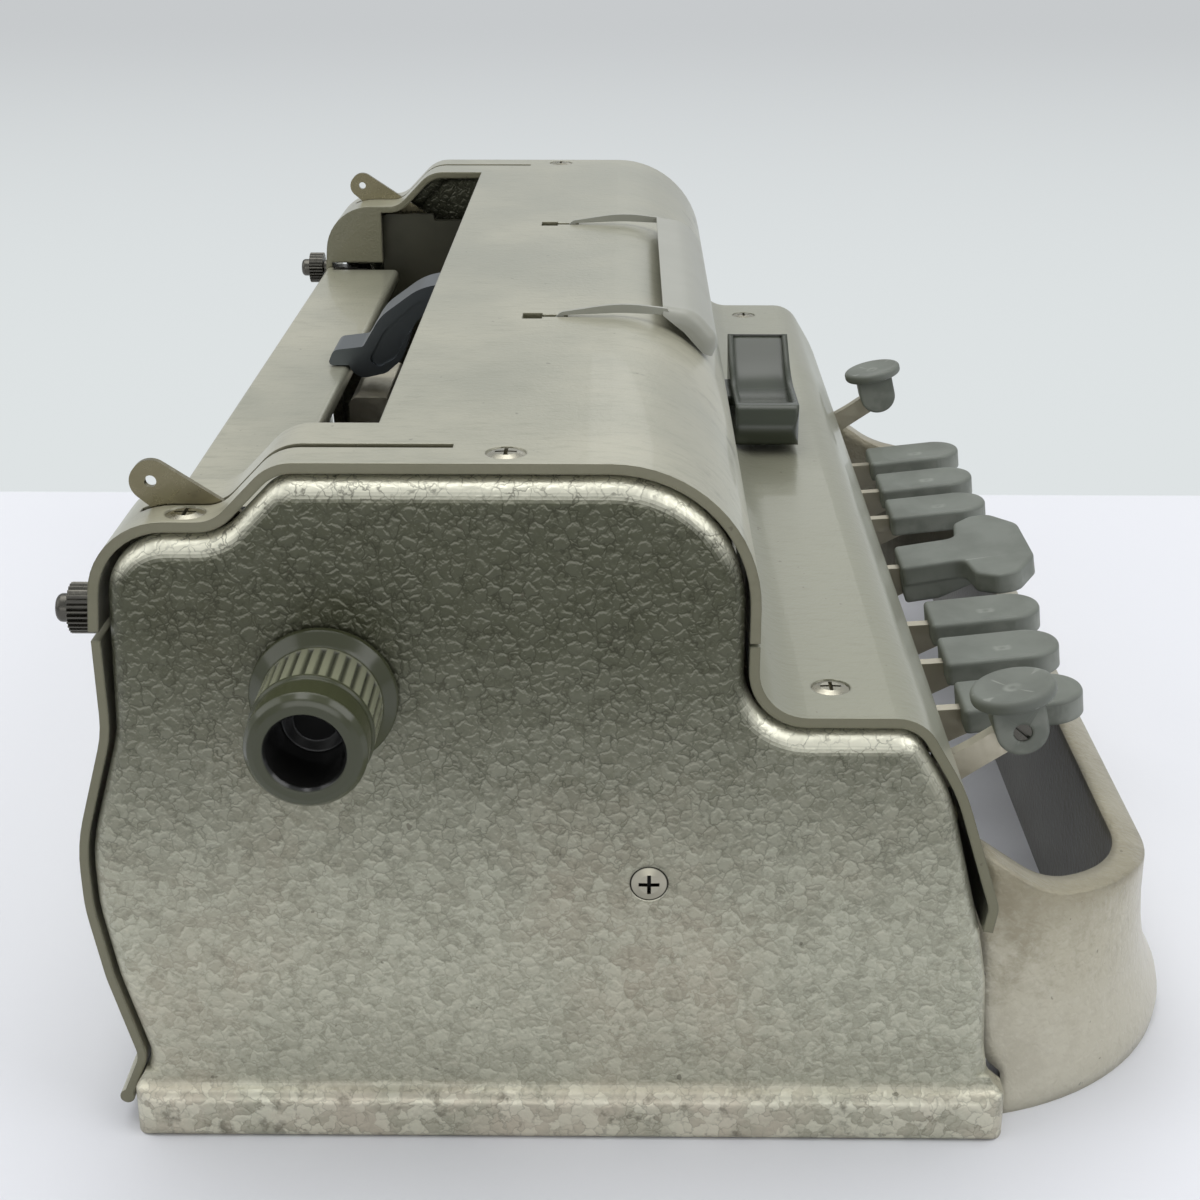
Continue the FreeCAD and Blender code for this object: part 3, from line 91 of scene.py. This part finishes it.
# ---------------------------------------------------------------- hammered enamel
PLATE_FLAKE = (0.0025, 0.00030)   # width and relief of the flakes on the end plates, in metres
COVER_FLAKE = (0.0018, 0.00005)
HANDLE_FLAKE = (0.0024, 0.00013)
FLAKE_SIDE = 0.34                 # share of a flake over which its side rises
FLAKE_WOBBLE = 1.45               # waves per flake of the noise that bends the flakes' walls
RELIEF_STEP = 0.10                # share of a flake between the two samples of its relief
GRAIN = 1.1                       # waves per flake of the fine grain
GRAIN_HEIGHT = 2.2                # its height against the flakes'

# ---------------------------------------------------------------- places on the pieces, in metres
PLATE_ROUND = 0.0018              # radius by which each piece's edges are shaded round
SHEET_ROUND = 0.0007
HANDLE_ROUND = 0.0045
KEY_ROUND = 0.0012
FINGER_ROUND = 0.0018
KNOB_ROUND = 0.0006

BEAD_TOP = (0.009, 0.013)         # heights between which the foot bead gives way to the plate
BORDER_FOOT = (0.012, 0.020)      # and where the painted highlight on upward faces reaches its full strength
PLATE_FADE = (0.030, 0.115)       # and between which painted shade darkens the enamel upwards, standing in for the dark room that the upper plate reflects
# heights over which painted light brightens the handle's flared foot
HANDLE_FOOT_LIGHT = (0.034, 0.006)
HANDLE_RIM = (0.034, 0.048)
WORN_FRONT = (0.0, -0.020)        # y and z over which the grime on the top cover sets in
WORN_HEIGHT = (0.104, 0.112)

KNOB_LOW, KNOB_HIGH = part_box("right_knob")
KNOB_AXIS = ((KNOB_LOW.y + KNOB_HIGH.y) / 2, (KNOB_LOW.z + KNOB_HIGH.z) / 2)
KNOB_RIBS = (KNOB_HIGH.x - 0.0208, KNOB_HIGH.x - 0.0082)  # where the ribs start and stop
KNOB_CREST_R = 0.0115             # radius over the ribs
KNOB_RIB_DEPTH = 0.0006
KNOB_BORE = (0.0073, 0.0077)      # radii between which the painted shade of the bore is seen to end
KNOB_BLUR = 0.0008                # length over which the ribs' colour ends

SCREW_LOW, SCREW_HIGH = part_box("side_screws")
SCREW_AXIS = ((SCREW_LOW.y + SCREW_HIGH.y) / 2, (SCREW_LOW.z + SCREW_HIGH.z) / 2)
SCREW_RECESS = (0.1712, 0.1716)   # X between which the painted shade of the recess gives way to the head's face
SCREW_RIM = (0.0033, 0.0036)      # radii between which the face gives way to the painted shadow in the joint round it


def linear(rgb):
    out = []
    for c in rgb:
        c /= 255.0
        out.append(c / 12.92 if c <= 0.04045 else ((c + 0.055) / 1.055) ** 2.4)
    return (*out, 1.0)


def scaled(rgb, share):
    return tuple(int(c * share) for c in rgb)


# ---------------------------------------------------------------- materials
class Finish:
    """A Principled material with its nodes built by short calls; a value is a node's output."""

    def __init__(self, name, rgb, rough, metallic=0.0, coat=0.0, spec=0.5):
        self.material = bpy.data.materials.new(name)
        self.material.use_nodes = True
        self.nodes = self.material.node_tree.nodes
        self.links = self.material.node_tree.links
        self.shader = self.nodes["Principled BSDF"]
        self.shader.inputs["Base Color"].default_value = linear(rgb)
        self.shader.inputs["Roughness"].default_value = rough
        self.shader.inputs["Metallic"].default_value = metallic
        self.shader.inputs["Coat Weight"].default_value = coat
        self.shader.inputs["Specular IOR Level"].default_value = spec
        self.coords = self.nodes.new("ShaderNodeTexCoord").outputs["Object"]

    def feed(self, socket, value):
        """Sets a socket to a number or a colour, or links a value to it."""
        if isinstance(value, tuple):
            socket.default_value = linear(value)
        elif isinstance(value, (int, float)):
            socket.default_value = value
        else:
            self.links.new(value, socket)

    # ---- patterns
    def noise(self, scale, detail=4.0, rough=0.55, stretch=None):
        """Soft noise, 0..1, with scale in waves per metre."""
        node = self.nodes.new("ShaderNodeTexNoise")
        node.inputs["Scale"].default_value = scale
        node.inputs["Detail"].default_value = detail
        node.inputs["Roughness"].default_value = rough
        self.links.new(self.stretched(stretch), node.inputs["Vector"])
        return node.outputs["Fac"]

    def stretched(self, stretch):
        if not stretch:
            return self.coords
        node = self.nodes.new("ShaderNodeMapping")
        node.inputs["Scale"].default_value = stretch
        self.links.new(self.coords, node.inputs["Vector"])
        return node.outputs["Vector"]

    def wobbled(self, flake, lift=0.0):
        """Coordinates moved up by lift and bent at random, by up to about half a flake."""
        raised = self.nodes.new("ShaderNodeVectorMath")
        self.links.new(self.coords, raised.inputs[0])
        raised.inputs[1].default_value = (0.0, 0.0, lift)
        wobble = self.nodes.new("ShaderNodeTexNoise")
        wobble.inputs["Scale"].default_value = FLAKE_WOBBLE / flake
        self.links.new(raised.outputs[0], wobble.inputs["Vector"])
        moved = self.nodes.new("ShaderNodeVectorMath")
        moved.operation = "MULTIPLY_ADD"
        self.links.new(wobble.outputs["Color"], moved.inputs[0])
        moved.inputs[1].default_value = (flake, flake, flake)
        self.links.new(raised.outputs[0], moved.inputs[2])
        return moved.outputs[0]

    def cells(self, places, flake, feature, output):
        """Cells as wide as a flake: the distance from their walls, or a shade for each."""
        node = self.nodes.new("ShaderNodeTexVoronoi")
        node.feature = feature
        node.inputs["Scale"].default_value = 1.0 / flake
        self.links.new(places, node.inputs["Vector"])
        return node.outputs[output]

    # ---- places
    def axis(self, index):
        """One coordinate of the surface point, in metres."""
        node = self.nodes.new("ShaderNodeSeparateXYZ")
        self.links.new(self.coords, node.inputs[0])
        return node.outputs[index]

    def facing(self, index):
        """One part of the direction that the surface faces."""
        node = self.nodes.new("ShaderNodeSeparateXYZ")
        geometry = self.nodes.new("ShaderNodeNewGeometry")
        self.links.new(geometry.outputs["True Normal"], node.inputs[0])
        return node.outputs[index]

    def from_middle(self):
        """Distance of the surface point from the middle of the machine, along X."""
        return self.maths("ABSOLUTE", self.axis(0))

    def from_axis(self, middle):
        """Distance of the surface point from an axis along X through middle = (y, z)."""
        along_y = self.maths("POWER", self.maths("SUBTRACT", self.axis(1), middle[0]), 2.0)
        along_z = self.maths("POWER", self.maths("SUBTRACT", self.axis(2), middle[1]), 2.0)
        return self.maths("SQRT", self.maths("ADD", along_y, along_z))

    def edges(self, low, high):
        """1 where the surface turns sharply outwards."""
        return self.ramp(self.nodes.new("ShaderNodeNewGeometry").outputs["Pointiness"], low, high)

    # ---- sums and colours
    def ramp(self, value, low, high, a=0.0, b=1.0, smooth=True):
        """a where the value is low, b where it is high, held beyond them."""
        node = self.nodes.new("ShaderNodeMapRange")
        node.interpolation_type = "SMOOTHSTEP" if smooth else "LINEAR"
        self.links.new(value, node.inputs["Value"])
        for name, number in (("From Min", low), ("From Max", high), ("To Min", a), ("To Max", b)):
            node.inputs[name].default_value = number
        return node.outputs["Result"]

    def maths(self, kind, a, b=0.0):
        node = self.nodes.new("ShaderNodeMath")
        node.operation = kind
        self.feed(node.inputs[0], a)
        self.feed(node.inputs[1], b)
        return node.outputs[0]

    def both(self, a, b):
        return self.maths("MULTIPLY", a, b)

    def mix(self, factor, a, b):
        node = self.nodes.new("ShaderNodeMix")
        node.data_type = "RGBA"
        self.feed(node.inputs[0], factor)
        self.feed(node.inputs[6], a)
        self.feed(node.inputs[7], b)
        return node.outputs[2]

    def over(self, tint, colour, value, between, most, least=0.0, within=None):
        """Lays a colour over the tint, least to most as the value goes between two bounds."""
        cover = self.ramp(value, *between, least, most)
        if within is not None:
            cover = self.both(cover, within)
        return self.mix(cover, tint, colour)

    # ---- what the shader gets
    def colour(self, value):
        self.links.new(value, self.shader.inputs["Base Color"])

    def roughness(self, value):
        self.links.new(value, self.shader.inputs["Roughness"])

    def bump(self, value, distance, strength, rounding=None):
        """Bumps the surface by the value, over edges that are rounded by this radius."""
        node = self.nodes.new("ShaderNodeBump")
        node.inputs["Distance"].default_value = distance
        node.inputs["Strength"].default_value = strength
        self.links.new(value, node.inputs["Height"])
        if rounding:
            bevel = self.nodes.new("ShaderNodeBevel")
            bevel.samples = 6
            bevel.inputs["Radius"].default_value = rounding
            self.links.new(bevel.outputs["Normal"], node.inputs["Normal"])
        self.links.new(node.outputs["Normal"], self.shader.inputs["Normal"])


def hammered(m, flake, strength, rounding):
    """Bump of hammered enamel with flat-topped flakes, where flake is their width and relief.

    Returns the distance from the flakes' walls, a shade for each flake, the fine grain, and a relief
    that is positive on the upper side of a flake and negative on its lower side.
    """
    width, depth = flake
    here = m.wobbled(width)
    above = m.wobbled(width, lift=width * RELIEF_STEP)
    wall = m.cells(here, width, "DISTANCE_TO_EDGE", "Distance")
    wall_above = m.cells(above, width, "DISTANCE_TO_EDGE", "Distance")
    tone = m.cells(here, width, "F1", "Color")
    top = m.ramp(wall, 0.0, FLAKE_SIDE)
    relief = m.maths("SUBTRACT", top, m.ramp(wall_above, 0.0, FLAKE_SIDE))
    grain = m.noise(GRAIN / width, rough=0.6)
    m.bump(m.maths("ADD", top, m.both(grain, GRAIN_HEIGHT)), depth, strength, rounding)
    return wall, tone, grain, relief


def flake_light_and_shade(m, tint, relief, amount, light, dark):
    """Painted light on the upper side of each flake and painted shade on its lower one, as if lit from
    above.
    """
    tint = m.over(tint, light, relief, (0.0, 0.5), most=amount)
    return m.over(tint, dark, relief, (0.0, -0.5), most=amount)


def end_plate_enamel(name):
    """Hammered enamel with painted shade that darkens it upwards, a painted highlight on the border,
    painted light and shade on each flake, and a foot bead made lighter by painted light from the bright
    floor and mottled with wear.
    """
    m = Finish(name, PAINT, 0.36, metallic=0.6, coat=0.1)
    wall, tone, grain, relief = hammered(m, PLATE_FLAKE, 0.19, PLATE_ROUND)
    height = m.axis(2)
    patch = m.noise(16.0, detail=5.0, rough=0.6)
    bead = m.ramp(height, *BEAD_TOP, 1.0, 0.0)

    tint = m.over(PAINT, PAINT_LIGHT, m.noise(7.0), (0.35, 0.70), most=0.35)
    tint = m.over(tint, PAINT_WARM, patch, (0.50, 0.74), most=0.40)
    tint = m.over(tint, PAINT_PALE, tone, (0.15, 0.85), most=0.40)
    tint = m.over(tint, PAINT_DARK, m.noise(620.0, detail=3.0, rough=0.6), (0.48, 0.66), most=0.30)
    tint = m.over(tint, PAINT_LIGHT, grain, (0.50, 0.72), most=0.25)
    # painted shade: the enamel darkens upwards, standing in for the dark room that the upper plate
    # reflects
    tint = m.over(tint, PAINT_UPPER_SHADE, height, PLATE_FADE, most=0.88)
    # painted light on each flake's upper side and painted shade on its lower side
    tint = flake_light_and_shade(m, tint, relief, 0.12, PAINT_HIGHLIGHT_AND_FLECK, DARK)

    # painted highlight on the upward faces of the border
    border = m.ramp(height, *BORDER_FOOT, 0.25, 1.0)
    tint = m.over(tint, PAINT_HIGHLIGHT_AND_FLECK, m.facing(2), (0.12, 0.62), most=0.85, within=border)
    # foot bead made lighter by painted light from the bright floor, mottled with wear
    wear_and_light = m.noise(60.0, rough=0.6)
    tint = m.over(tint, BEAD_LIGHT_AND_WEAR, wear_and_light, (0.35, 0.65), most=0.75, least=0.15, within=bead)
    tint = m.over(tint, PAINT_HIGHLIGHT_AND_FLECK, tone, (0.45, 0.75), most=0.30, within=bead)

    broken = m.ramp(m.noise(260.0, detail=3.0, rough=0.6), 0.36, 0.62, 0.15, 1.0)
    high = m.ramp(m.ramp(height, *PLATE_FADE), 0.0, 1.0, 0.16, 0.60, smooth=False)
    veined = m.both(broken, m.maths("ADD", high, m.both(bead, 0.14)))
    tint = m.over(tint, PAINT_VEIN, wall, (0.085, 0.0), most=1.0, within=veined)

    tint = m.over(tint, GRIME, m.noise(150.0, rough=0.65), (0.56, 0.68), most=0.5, within=bead)
    m.colour(m.over(tint, GRIME, m.noise(260.0, detail=2.0), (0.75, 0.77), most=0.5))
    m.roughness(m.ramp(patch, 0.3, 0.7, 0.32, 0.42))
    return m.material


def brushed_coat(m, base, light, dark, streaked):
    """Clouds of a lighter shade under fine streaks that run from front to back."""
    cloud = m.noise(11.0, detail=5.0, rough=0.6)
    streaks = m.noise(1.0, detail=3.0, rough=0.6, stretch=(620.0, 130.0, 260.0))
    m.roughness(m.ramp(cloud, 0.3, 0.7, 0.28, 0.38))
    tint = m.over(base, light, cloud, (0.3, 0.7), most=0.6)
    return m.over(tint, dark, streaks, (0.46, 0.76), most=streaked)


def specked(m, tint):
    """Small dark specks in the enamel."""
    m.colour(m.over(tint, GRIME, m.noise(420.0, detail=2.0), (0.73, 0.77), most=0.45))
    return m.material


def cover_enamel(name, base, light, grimy=False):
    """Finely hammered enamel of the bent covers, with painted shade on their cut ends."""
    m = Finish(name, base, 0.34, metallic=0.35, coat=0.2)
    hammered(m, COVER_FLAKE, 0.45, SHEET_ROUND)
    tint = brushed_coat(m, base, light, COVER_DARK, 0.35)
    if grimy:
        wear_and_light = m.both(m.ramp(m.axis(1), *WORN_FRONT), m.ramp(m.axis(2), *WORN_HEIGHT))
        spots = m.noise(75.0, detail=6.0, rough=0.7)
        tint = m.over(tint, GRIME, spots, (0.54, 0.68), most=0.5, within=wear_and_light)
    # painted shade on the sideways-facing cut ends of the sheets
    sideways = m.maths("ABSOLUTE", m.facing(0))
    tint = m.over(tint, COVER_EDGE_SHADE, sideways, (0.93, 0.97), most=0.8)
    return specked(m, tint)


def handle_enamel(name):
    """Blotchy enamel of the cast handle: painted light on the flared foot, darker on the rim, painted
    shade inside, and painted light and shade on each flake.
    """
    m = Finish(name, HANDLE, 0.34, metallic=0.35, coat=0.2)
    _, _, grain, relief = hammered(m, HANDLE_FLAKE, 0.45, HANDLE_ROUND)
    tint = brushed_coat(m, HANDLE, HANDLE_LIGHT, HANDLE_DARK, 0.3)
    tint = m.over(tint, HANDLE_DARK, m.noise(38.0, detail=6.0, rough=0.7), (0.48, 0.66), most=0.6)
    tint = m.over(tint, HANDLE_LIGHT, grain, (0.50, 0.72), most=0.3)
    # painted light on each flake's upper side and painted shade on its lower side
    tint = flake_light_and_shade(m, tint, relief, 0.16, HANDLE_LIGHT, HANDLE_DARK)
    # painted light on the flared foot
    tint = m.over(tint, HANDLE_LIGHT, m.axis(2), HANDLE_FOOT_LIGHT, most=0.55)
    tint = m.over(tint, HANDLE_DARK, m.axis(2), HANDLE_RIM, most=0.55)
    # painted shade on the faces inside the handle
    tint = m.over(tint, HANDLE_INNER_SHADE, m.facing(1), (0.1, 0.8), most=0.75)
    return specked(m, tint)


def plastic(name, rgb, rough, grain=0.00003, wear_and_light=None, spec=0.5, mottle=0.7, rounding=None):
    """Moulded plastic, rubber or plain enamel, with worn edges where a worn colour is given."""
    m = Finish(name, rgb, rough, spec=spec)
    cloud = m.noise(60.0, detail=5.0)
    tint = m.over(rgb, scaled(rgb, 0.86), cloud, (0.35, 0.7), most=mottle)
    if wear_and_light:
        edge = m.edges(0.51, 0.58)
        rubbed = m.noise(150.0, detail=3.0)
        tint = m.over(tint, wear_and_light, rubbed, (0.35, 0.6), most=0.8, least=0.8 - 0.85 * mottle, within=edge)
    m.colour(tint)
    m.roughness(m.ramp(cloud, 0.3, 0.7, rough - 0.06 * mottle, rough + 0.12 * mottle))
    m.bump(m.noise(1500.0, detail=2.0), grain, 0.4, rounding)
    return m.material


def knob_plastic(name):
    """Glossy plastic with a painted highlight on the crests and painted shade in the grooves of the ribbed
    part, and painted shade in the bore.
    """
    m = Finish(name, KNOB, 0.16)
    reach = m.from_axis(KNOB_AXIS)
    along = m.from_middle()
    start, end = KNOB_RIBS
    ribbed = m.both(m.ramp(along, start, start + KNOB_BLUR), m.ramp(along, end - KNOB_BLUR, end, 1.0, 0.0))
    crest = m.ramp(reach, KNOB_CREST_R - KNOB_RIB_DEPTH, KNOB_CREST_R)
    # painted highlight on the rib crests and painted shade in the grooves
    tint = m.mix(ribbed, KNOB, m.mix(crest, KNOB_GROOVE_SHADE, KNOB_CREST_HIGHLIGHT))
    # painted shade in the bore
    bore = m.ramp(reach, *KNOB_BORE)
    m.colour(m.mix(bore, DARK, tint))
    m.bump(m.noise(1500.0, detail=2.0), 0.000003, 0.3, KNOB_ROUND)
    return m.material


def metal(name, rgb, rough, stain=None, amount=0.35, clouds=55.0, grain=0.000004, hollow_shade=None):
    """Metal with clouds of stain, fine grain, and painted shade in hollows where a shade colour is given.
    """
    m = Finish(name, rgb, rough, metallic=1.0)
    cloud = m.noise(clouds, detail=5.0, rough=0.6)
    tint = m.over(rgb, stain or scaled(rgb, 0.75), cloud, (0.45, 0.8), most=amount)
    if hollow_shade:
        # painted shade in hollows
        tint = m.mix(m.edges(0.40, 0.47), hollow_shade, tint)
    m.colour(tint)
    if grain:
        scratches = m.noise(700.0, detail=2.0)
        m.roughness(m.ramp(scratches, 0.3, 0.7, rough - 0.05, rough + 0.09))
        m.bump(scratches, grain, 0.2)
    return m.material


def side_screw_nickel(name):
    """Nickel with painted shade in the recess and a painted shadow in the joint round the head of the
    screws in the end plates.
    """
    m = Finish(name, NICKEL, 0.28, metallic=1.0)
    cloud = m.noise(55.0, detail=5.0, rough=0.6)
    tint = m.over(NICKEL, NICKEL_STAIN, cloud, (0.45, 0.8), most=0.35)
    face = m.ramp(m.from_middle(), *SCREW_RECESS)
    head = m.ramp(m.from_axis(SCREW_AXIS), *SCREW_RIM, 1.0, 0.0)
    # painted shade in the recess and painted shadow in the joint round the head
    m.colour(m.mix(m.both(face, head), DARK, tint))
    return m.material


# ---------------------------------------------------------------- which piece has which finish
DOT_KEYS = ["dot_key_%d" % i for i in range(1, 7)]
DOT_LEVERS = ["dot_lever_%d" % i for i in range(1, 7)]

FINISHES = [
    (end_plate_enamel("hammertone_side"), ["left_side_plate", "right_side_plate"]),
    (cover_enamel("hammertone_cover", COVER, PAINT_LIGHT, grimy=True),
     ["top_cover", "rear_cover", "paper_table"]),
    (cover_enamel("hammertone_deck", DECK_SHADED, COVER), ["deck_cover"]),
    (handle_enamel("handle_enamel"), ["handle"]),
    (plastic("key_plastic", KEY, 0.5, wear_and_light=KEY_WORN, rounding=KEY_ROUND),
     ["space_key", "line_key", "back_key"] + DOT_KEYS),
    (knob_plastic("knob_plastic"), ["left_knob", "right_knob"]),
    (plastic("finger_plastic", FINGER, 0.2, grain=0.000003, spec=0.45, mottle=0.1, rounding=FINGER_ROUND),
     ["carriage_lever"]),
    (metal("nickel", NICKEL, 0.28, stain=NICKEL_STAIN, hollow_shade=DARK), ["cover_screws"]),
    (metal("worn_nickel", RELEASE_NICKEL, 0.3, stain=RELEASE_STAIN, amount=0.4),
     ["left_release_lever", "right_release_lever"]),
    (metal("nut_steel", NUT, 0.3),
     ["line_set_screw", "back_set_screw", "left_margin_stop", "right_margin_stop", "left_margin_nut",
      "right_margin_nut"]),
    (side_screw_nickel("side_screw_nickel"), ["side_screws"]),
    (metal("steel", STEEL, 0.22),
     ["key_shaft", "key_springs", "pinch_roller", "release_shaft", "carriage_rails", "spacing_rack",
      "rest_hinge", "margin_bar", "bell_hammer", "line_pawl"]),
    (metal("polished_steel", HEAD_STEEL, 0.34, amount=0.1, clouds=8.0, grain=0), ["embossing_head"]),
    (metal("lever_nickel", LEVER_NICKEL, 0.40, stain=LEVER_STAIN),
     ["embossing_jaw", "space_lever", "line_lever", "back_lever"] + DOT_LEVERS),
    (plastic("dark_enamel", DARK, 0.35, grain=0.000002, mottle=0.1),
     ["base_plate", "key_comb", "carriage_body"]),
    (plastic("frame_enamel", FRAME_PAINT, 0.45), ["inner_frames"]),
    (plastic("rest_enamel", REST, 0.34, grain=0.000003, mottle=0.12), ["reading_rest"]),
    (plastic("rubber", RUBBER, 0.7, spec=0.2), ["rubber_feet", "paper_drum"]),
    (metal("brass", BRASS, 0.3), ["bell_gong", "ratchet_wheel", "mainspring_drum"]),
]
for finish, names in FINISHES:
    for name in names:
        slots = NODES[name].data.materials
        slots.clear()
        slots.append(finish)


# ---------------------------------------------------------------- floor, lights, camera
MIDDLE = (0.0, 0.0, 0.08)         # what most of the lamps point at
LAMPS = [                         # name, place, target, width and height, power in watts
    ("top_light", (0.25, 0.15, 1.5), (0.0, 0.0, 0.0), (1.3, 1.3), 13.0),
    ("key_light", (-0.5, -1.1, 1.1), MIDDLE, (1.0, 1.0), 6.0),
    ("left_light", (-1.5, 0.1, 0.35), (-0.17, 0.0, 0.03), (1.0, 0.4), 2.0),
    ("back_light", (1.15, -0.10, 0.58), (0.0, 0.0, 0.1), (0.28, 0.22), 0.12),
    ("fill_light", (-0.3, 1.3, 0.9), MIDDLE, (1.2, 1.0), 4.0),
]
FLOOR_HALF = 12.0                 # half the floor's width
WALL_X = CAD_BOUNDS[1][0] + 0.039  # where the floor ends for the eye and the wall begins
WALL_FAR_X = 2.2                  # where the wall reaches its own colour
ROOM_SPAN = (-0.9, 0.5)           # X of the directions between which the room gets lighter
ROOM_LIGHT = (0.22, 0.62)         # its strength at both ends
CAMERA = Vector((-0.50985, 0.00668, 0.25087))
CAMERA_PITCH = math.radians(20.767)
CAMERA_YAW = math.radians(-0.614)
CAMERA_SENSOR = 36.0
CAMERA_LENS = 59.49
CAMERA_SHIFT = (-0.00347, -0.02571)
CAMERA_CLIP = (0.02, 40.0)


def area_light(name, location, target, size, power):
    lamp = bpy.data.lights.new(name, "AREA")
    lamp.shape = "RECTANGLE"
    lamp.size, lamp.size_y = size
    lamp.energy = power
    obj = bpy.data.objects.new(name, lamp)
    obj.location = location
    obj.rotation_euler = (Vector(target) - Vector(location)).to_track_quat("-Z", "Y").to_euler()
    bpy.context.scene.collection.objects.link(obj)


def seen_rays(nodes, links):
    """1 for the rays that show a background: from the camera, off gloss or through glass."""
    path = nodes.new("ShaderNodeLightPath")
    total = path.outputs["Is Camera Ray"]
    for name in ("Is Glossy Ray", "Is Transmission Ray"):
        node = nodes.new("ShaderNodeMath")
        node.operation = "MAXIMUM"
        links.new(total, node.inputs[0])
        links.new(path.outputs[name], node.inputs[1])
        total = node.outputs[0]
    return total


def make_floor():
    """A pale floor that keeps the shadow; beyond WALL_X the eye sees a plain wall instead."""
    mesh = bpy.data.meshes.new("floor")
    bm = bmesh.new()
    bmesh.ops.create_grid(bm, x_segments=1, y_segments=1, size=FLOOR_HALF)
    bm.to_mesh(mesh)
    bm.free()
    floor = bpy.data.objects.new("floor", mesh)
    bpy.context.scene.collection.objects.link(floor)
    m = Finish("floor", FLOOR, 0.9, spec=0.1)
    m.bump(m.noise(260.0, detail=2.0), 0.0003, 0.25)
    x = m.axis(0)
    glow = m.nodes.new("ShaderNodeEmission")
    m.links.new(m.mix(m.ramp(x, WALL_X, WALL_FAR_X), WALL_NEAR, WALL), glow.inputs["Color"])
    beyond = m.ramp(x, WALL_X - 0.001, WALL_X + 0.001)
    blend = m.nodes.new("ShaderNodeMixShader")
    m.links.new(m.both(seen_rays(m.nodes, m.links), beyond), blend.inputs[0])
    m.links.new(m.shader.outputs[0], blend.inputs[1])
    m.links.new(glow.outputs[0], blend.inputs[2])
    m.links.new(blend.outputs[0], m.nodes["Material Output"].inputs["Surface"])
    mesh.materials.append(m.material)


def make_world():
    """A pale wall for the eye; for the light a plain room, darker at the machine's left end."""
    world = bpy.data.worlds.new("studio")
    bpy.context.scene.world = world
    world.use_nodes = True
    tree = world.node_tree
    background = tree.nodes["Background"]
    coords = tree.nodes.new("ShaderNodeTexCoord")
    split = tree.nodes.new("ShaderNodeSeparateXYZ")
    tree.links.new(coords.outputs["Generated"], split.inputs[0])
    room = tree.nodes.new("ShaderNodeMapRange")
    tree.links.new(split.outputs[0], room.inputs["Value"])
    for name, number in zip(("From Min", "From Max", "To Min", "To Max"), ROOM_SPAN + ROOM_LIGHT):
        room.inputs[name].default_value = number
    mix = tree.nodes.new("ShaderNodeMix")
    mix.data_type = "RGBA"
    tree.links.new(seen_rays(tree.nodes, tree.links), mix.inputs[0])
    tree.links.new(room.outputs["Result"], mix.inputs[6])
    mix.inputs[7].default_value = linear(WALL)
    tree.links.new(mix.outputs[2], background.inputs["Color"])
    background.inputs["Strength"].default_value = 1.0


def make_camera():
    data = bpy.data.cameras.new("camera")
    data.sensor_width = CAMERA_SENSOR
    data.lens = CAMERA_LENS
    data.shift_x, data.shift_y = CAMERA_SHIFT
    data.clip_start, data.clip_end = CAMERA_CLIP
    camera = bpy.data.objects.new("camera", data)
    bpy.context.scene.collection.objects.link(camera)
    bpy.context.scene.camera = camera
    level = math.cos(CAMERA_PITCH)
    ahead = Vector((level * math.cos(CAMERA_YAW), -level * math.sin(CAMERA_YAW), -math.sin(CAMERA_PITCH)))
    right = ahead.cross(Vector((0, 0, 1))).normalized()
    up = right.cross(ahead)
    turn = Matrix((right, up, -ahead)).transposed()
    camera.matrix_world = Matrix.Translation(CAMERA) @ turn.to_4x4()


make_floor()
make_world()
make_camera()
for lamp in LAMPS:
    area_light(*lamp)
bpy.context.scene.view_settings.view_transform = "Standard"
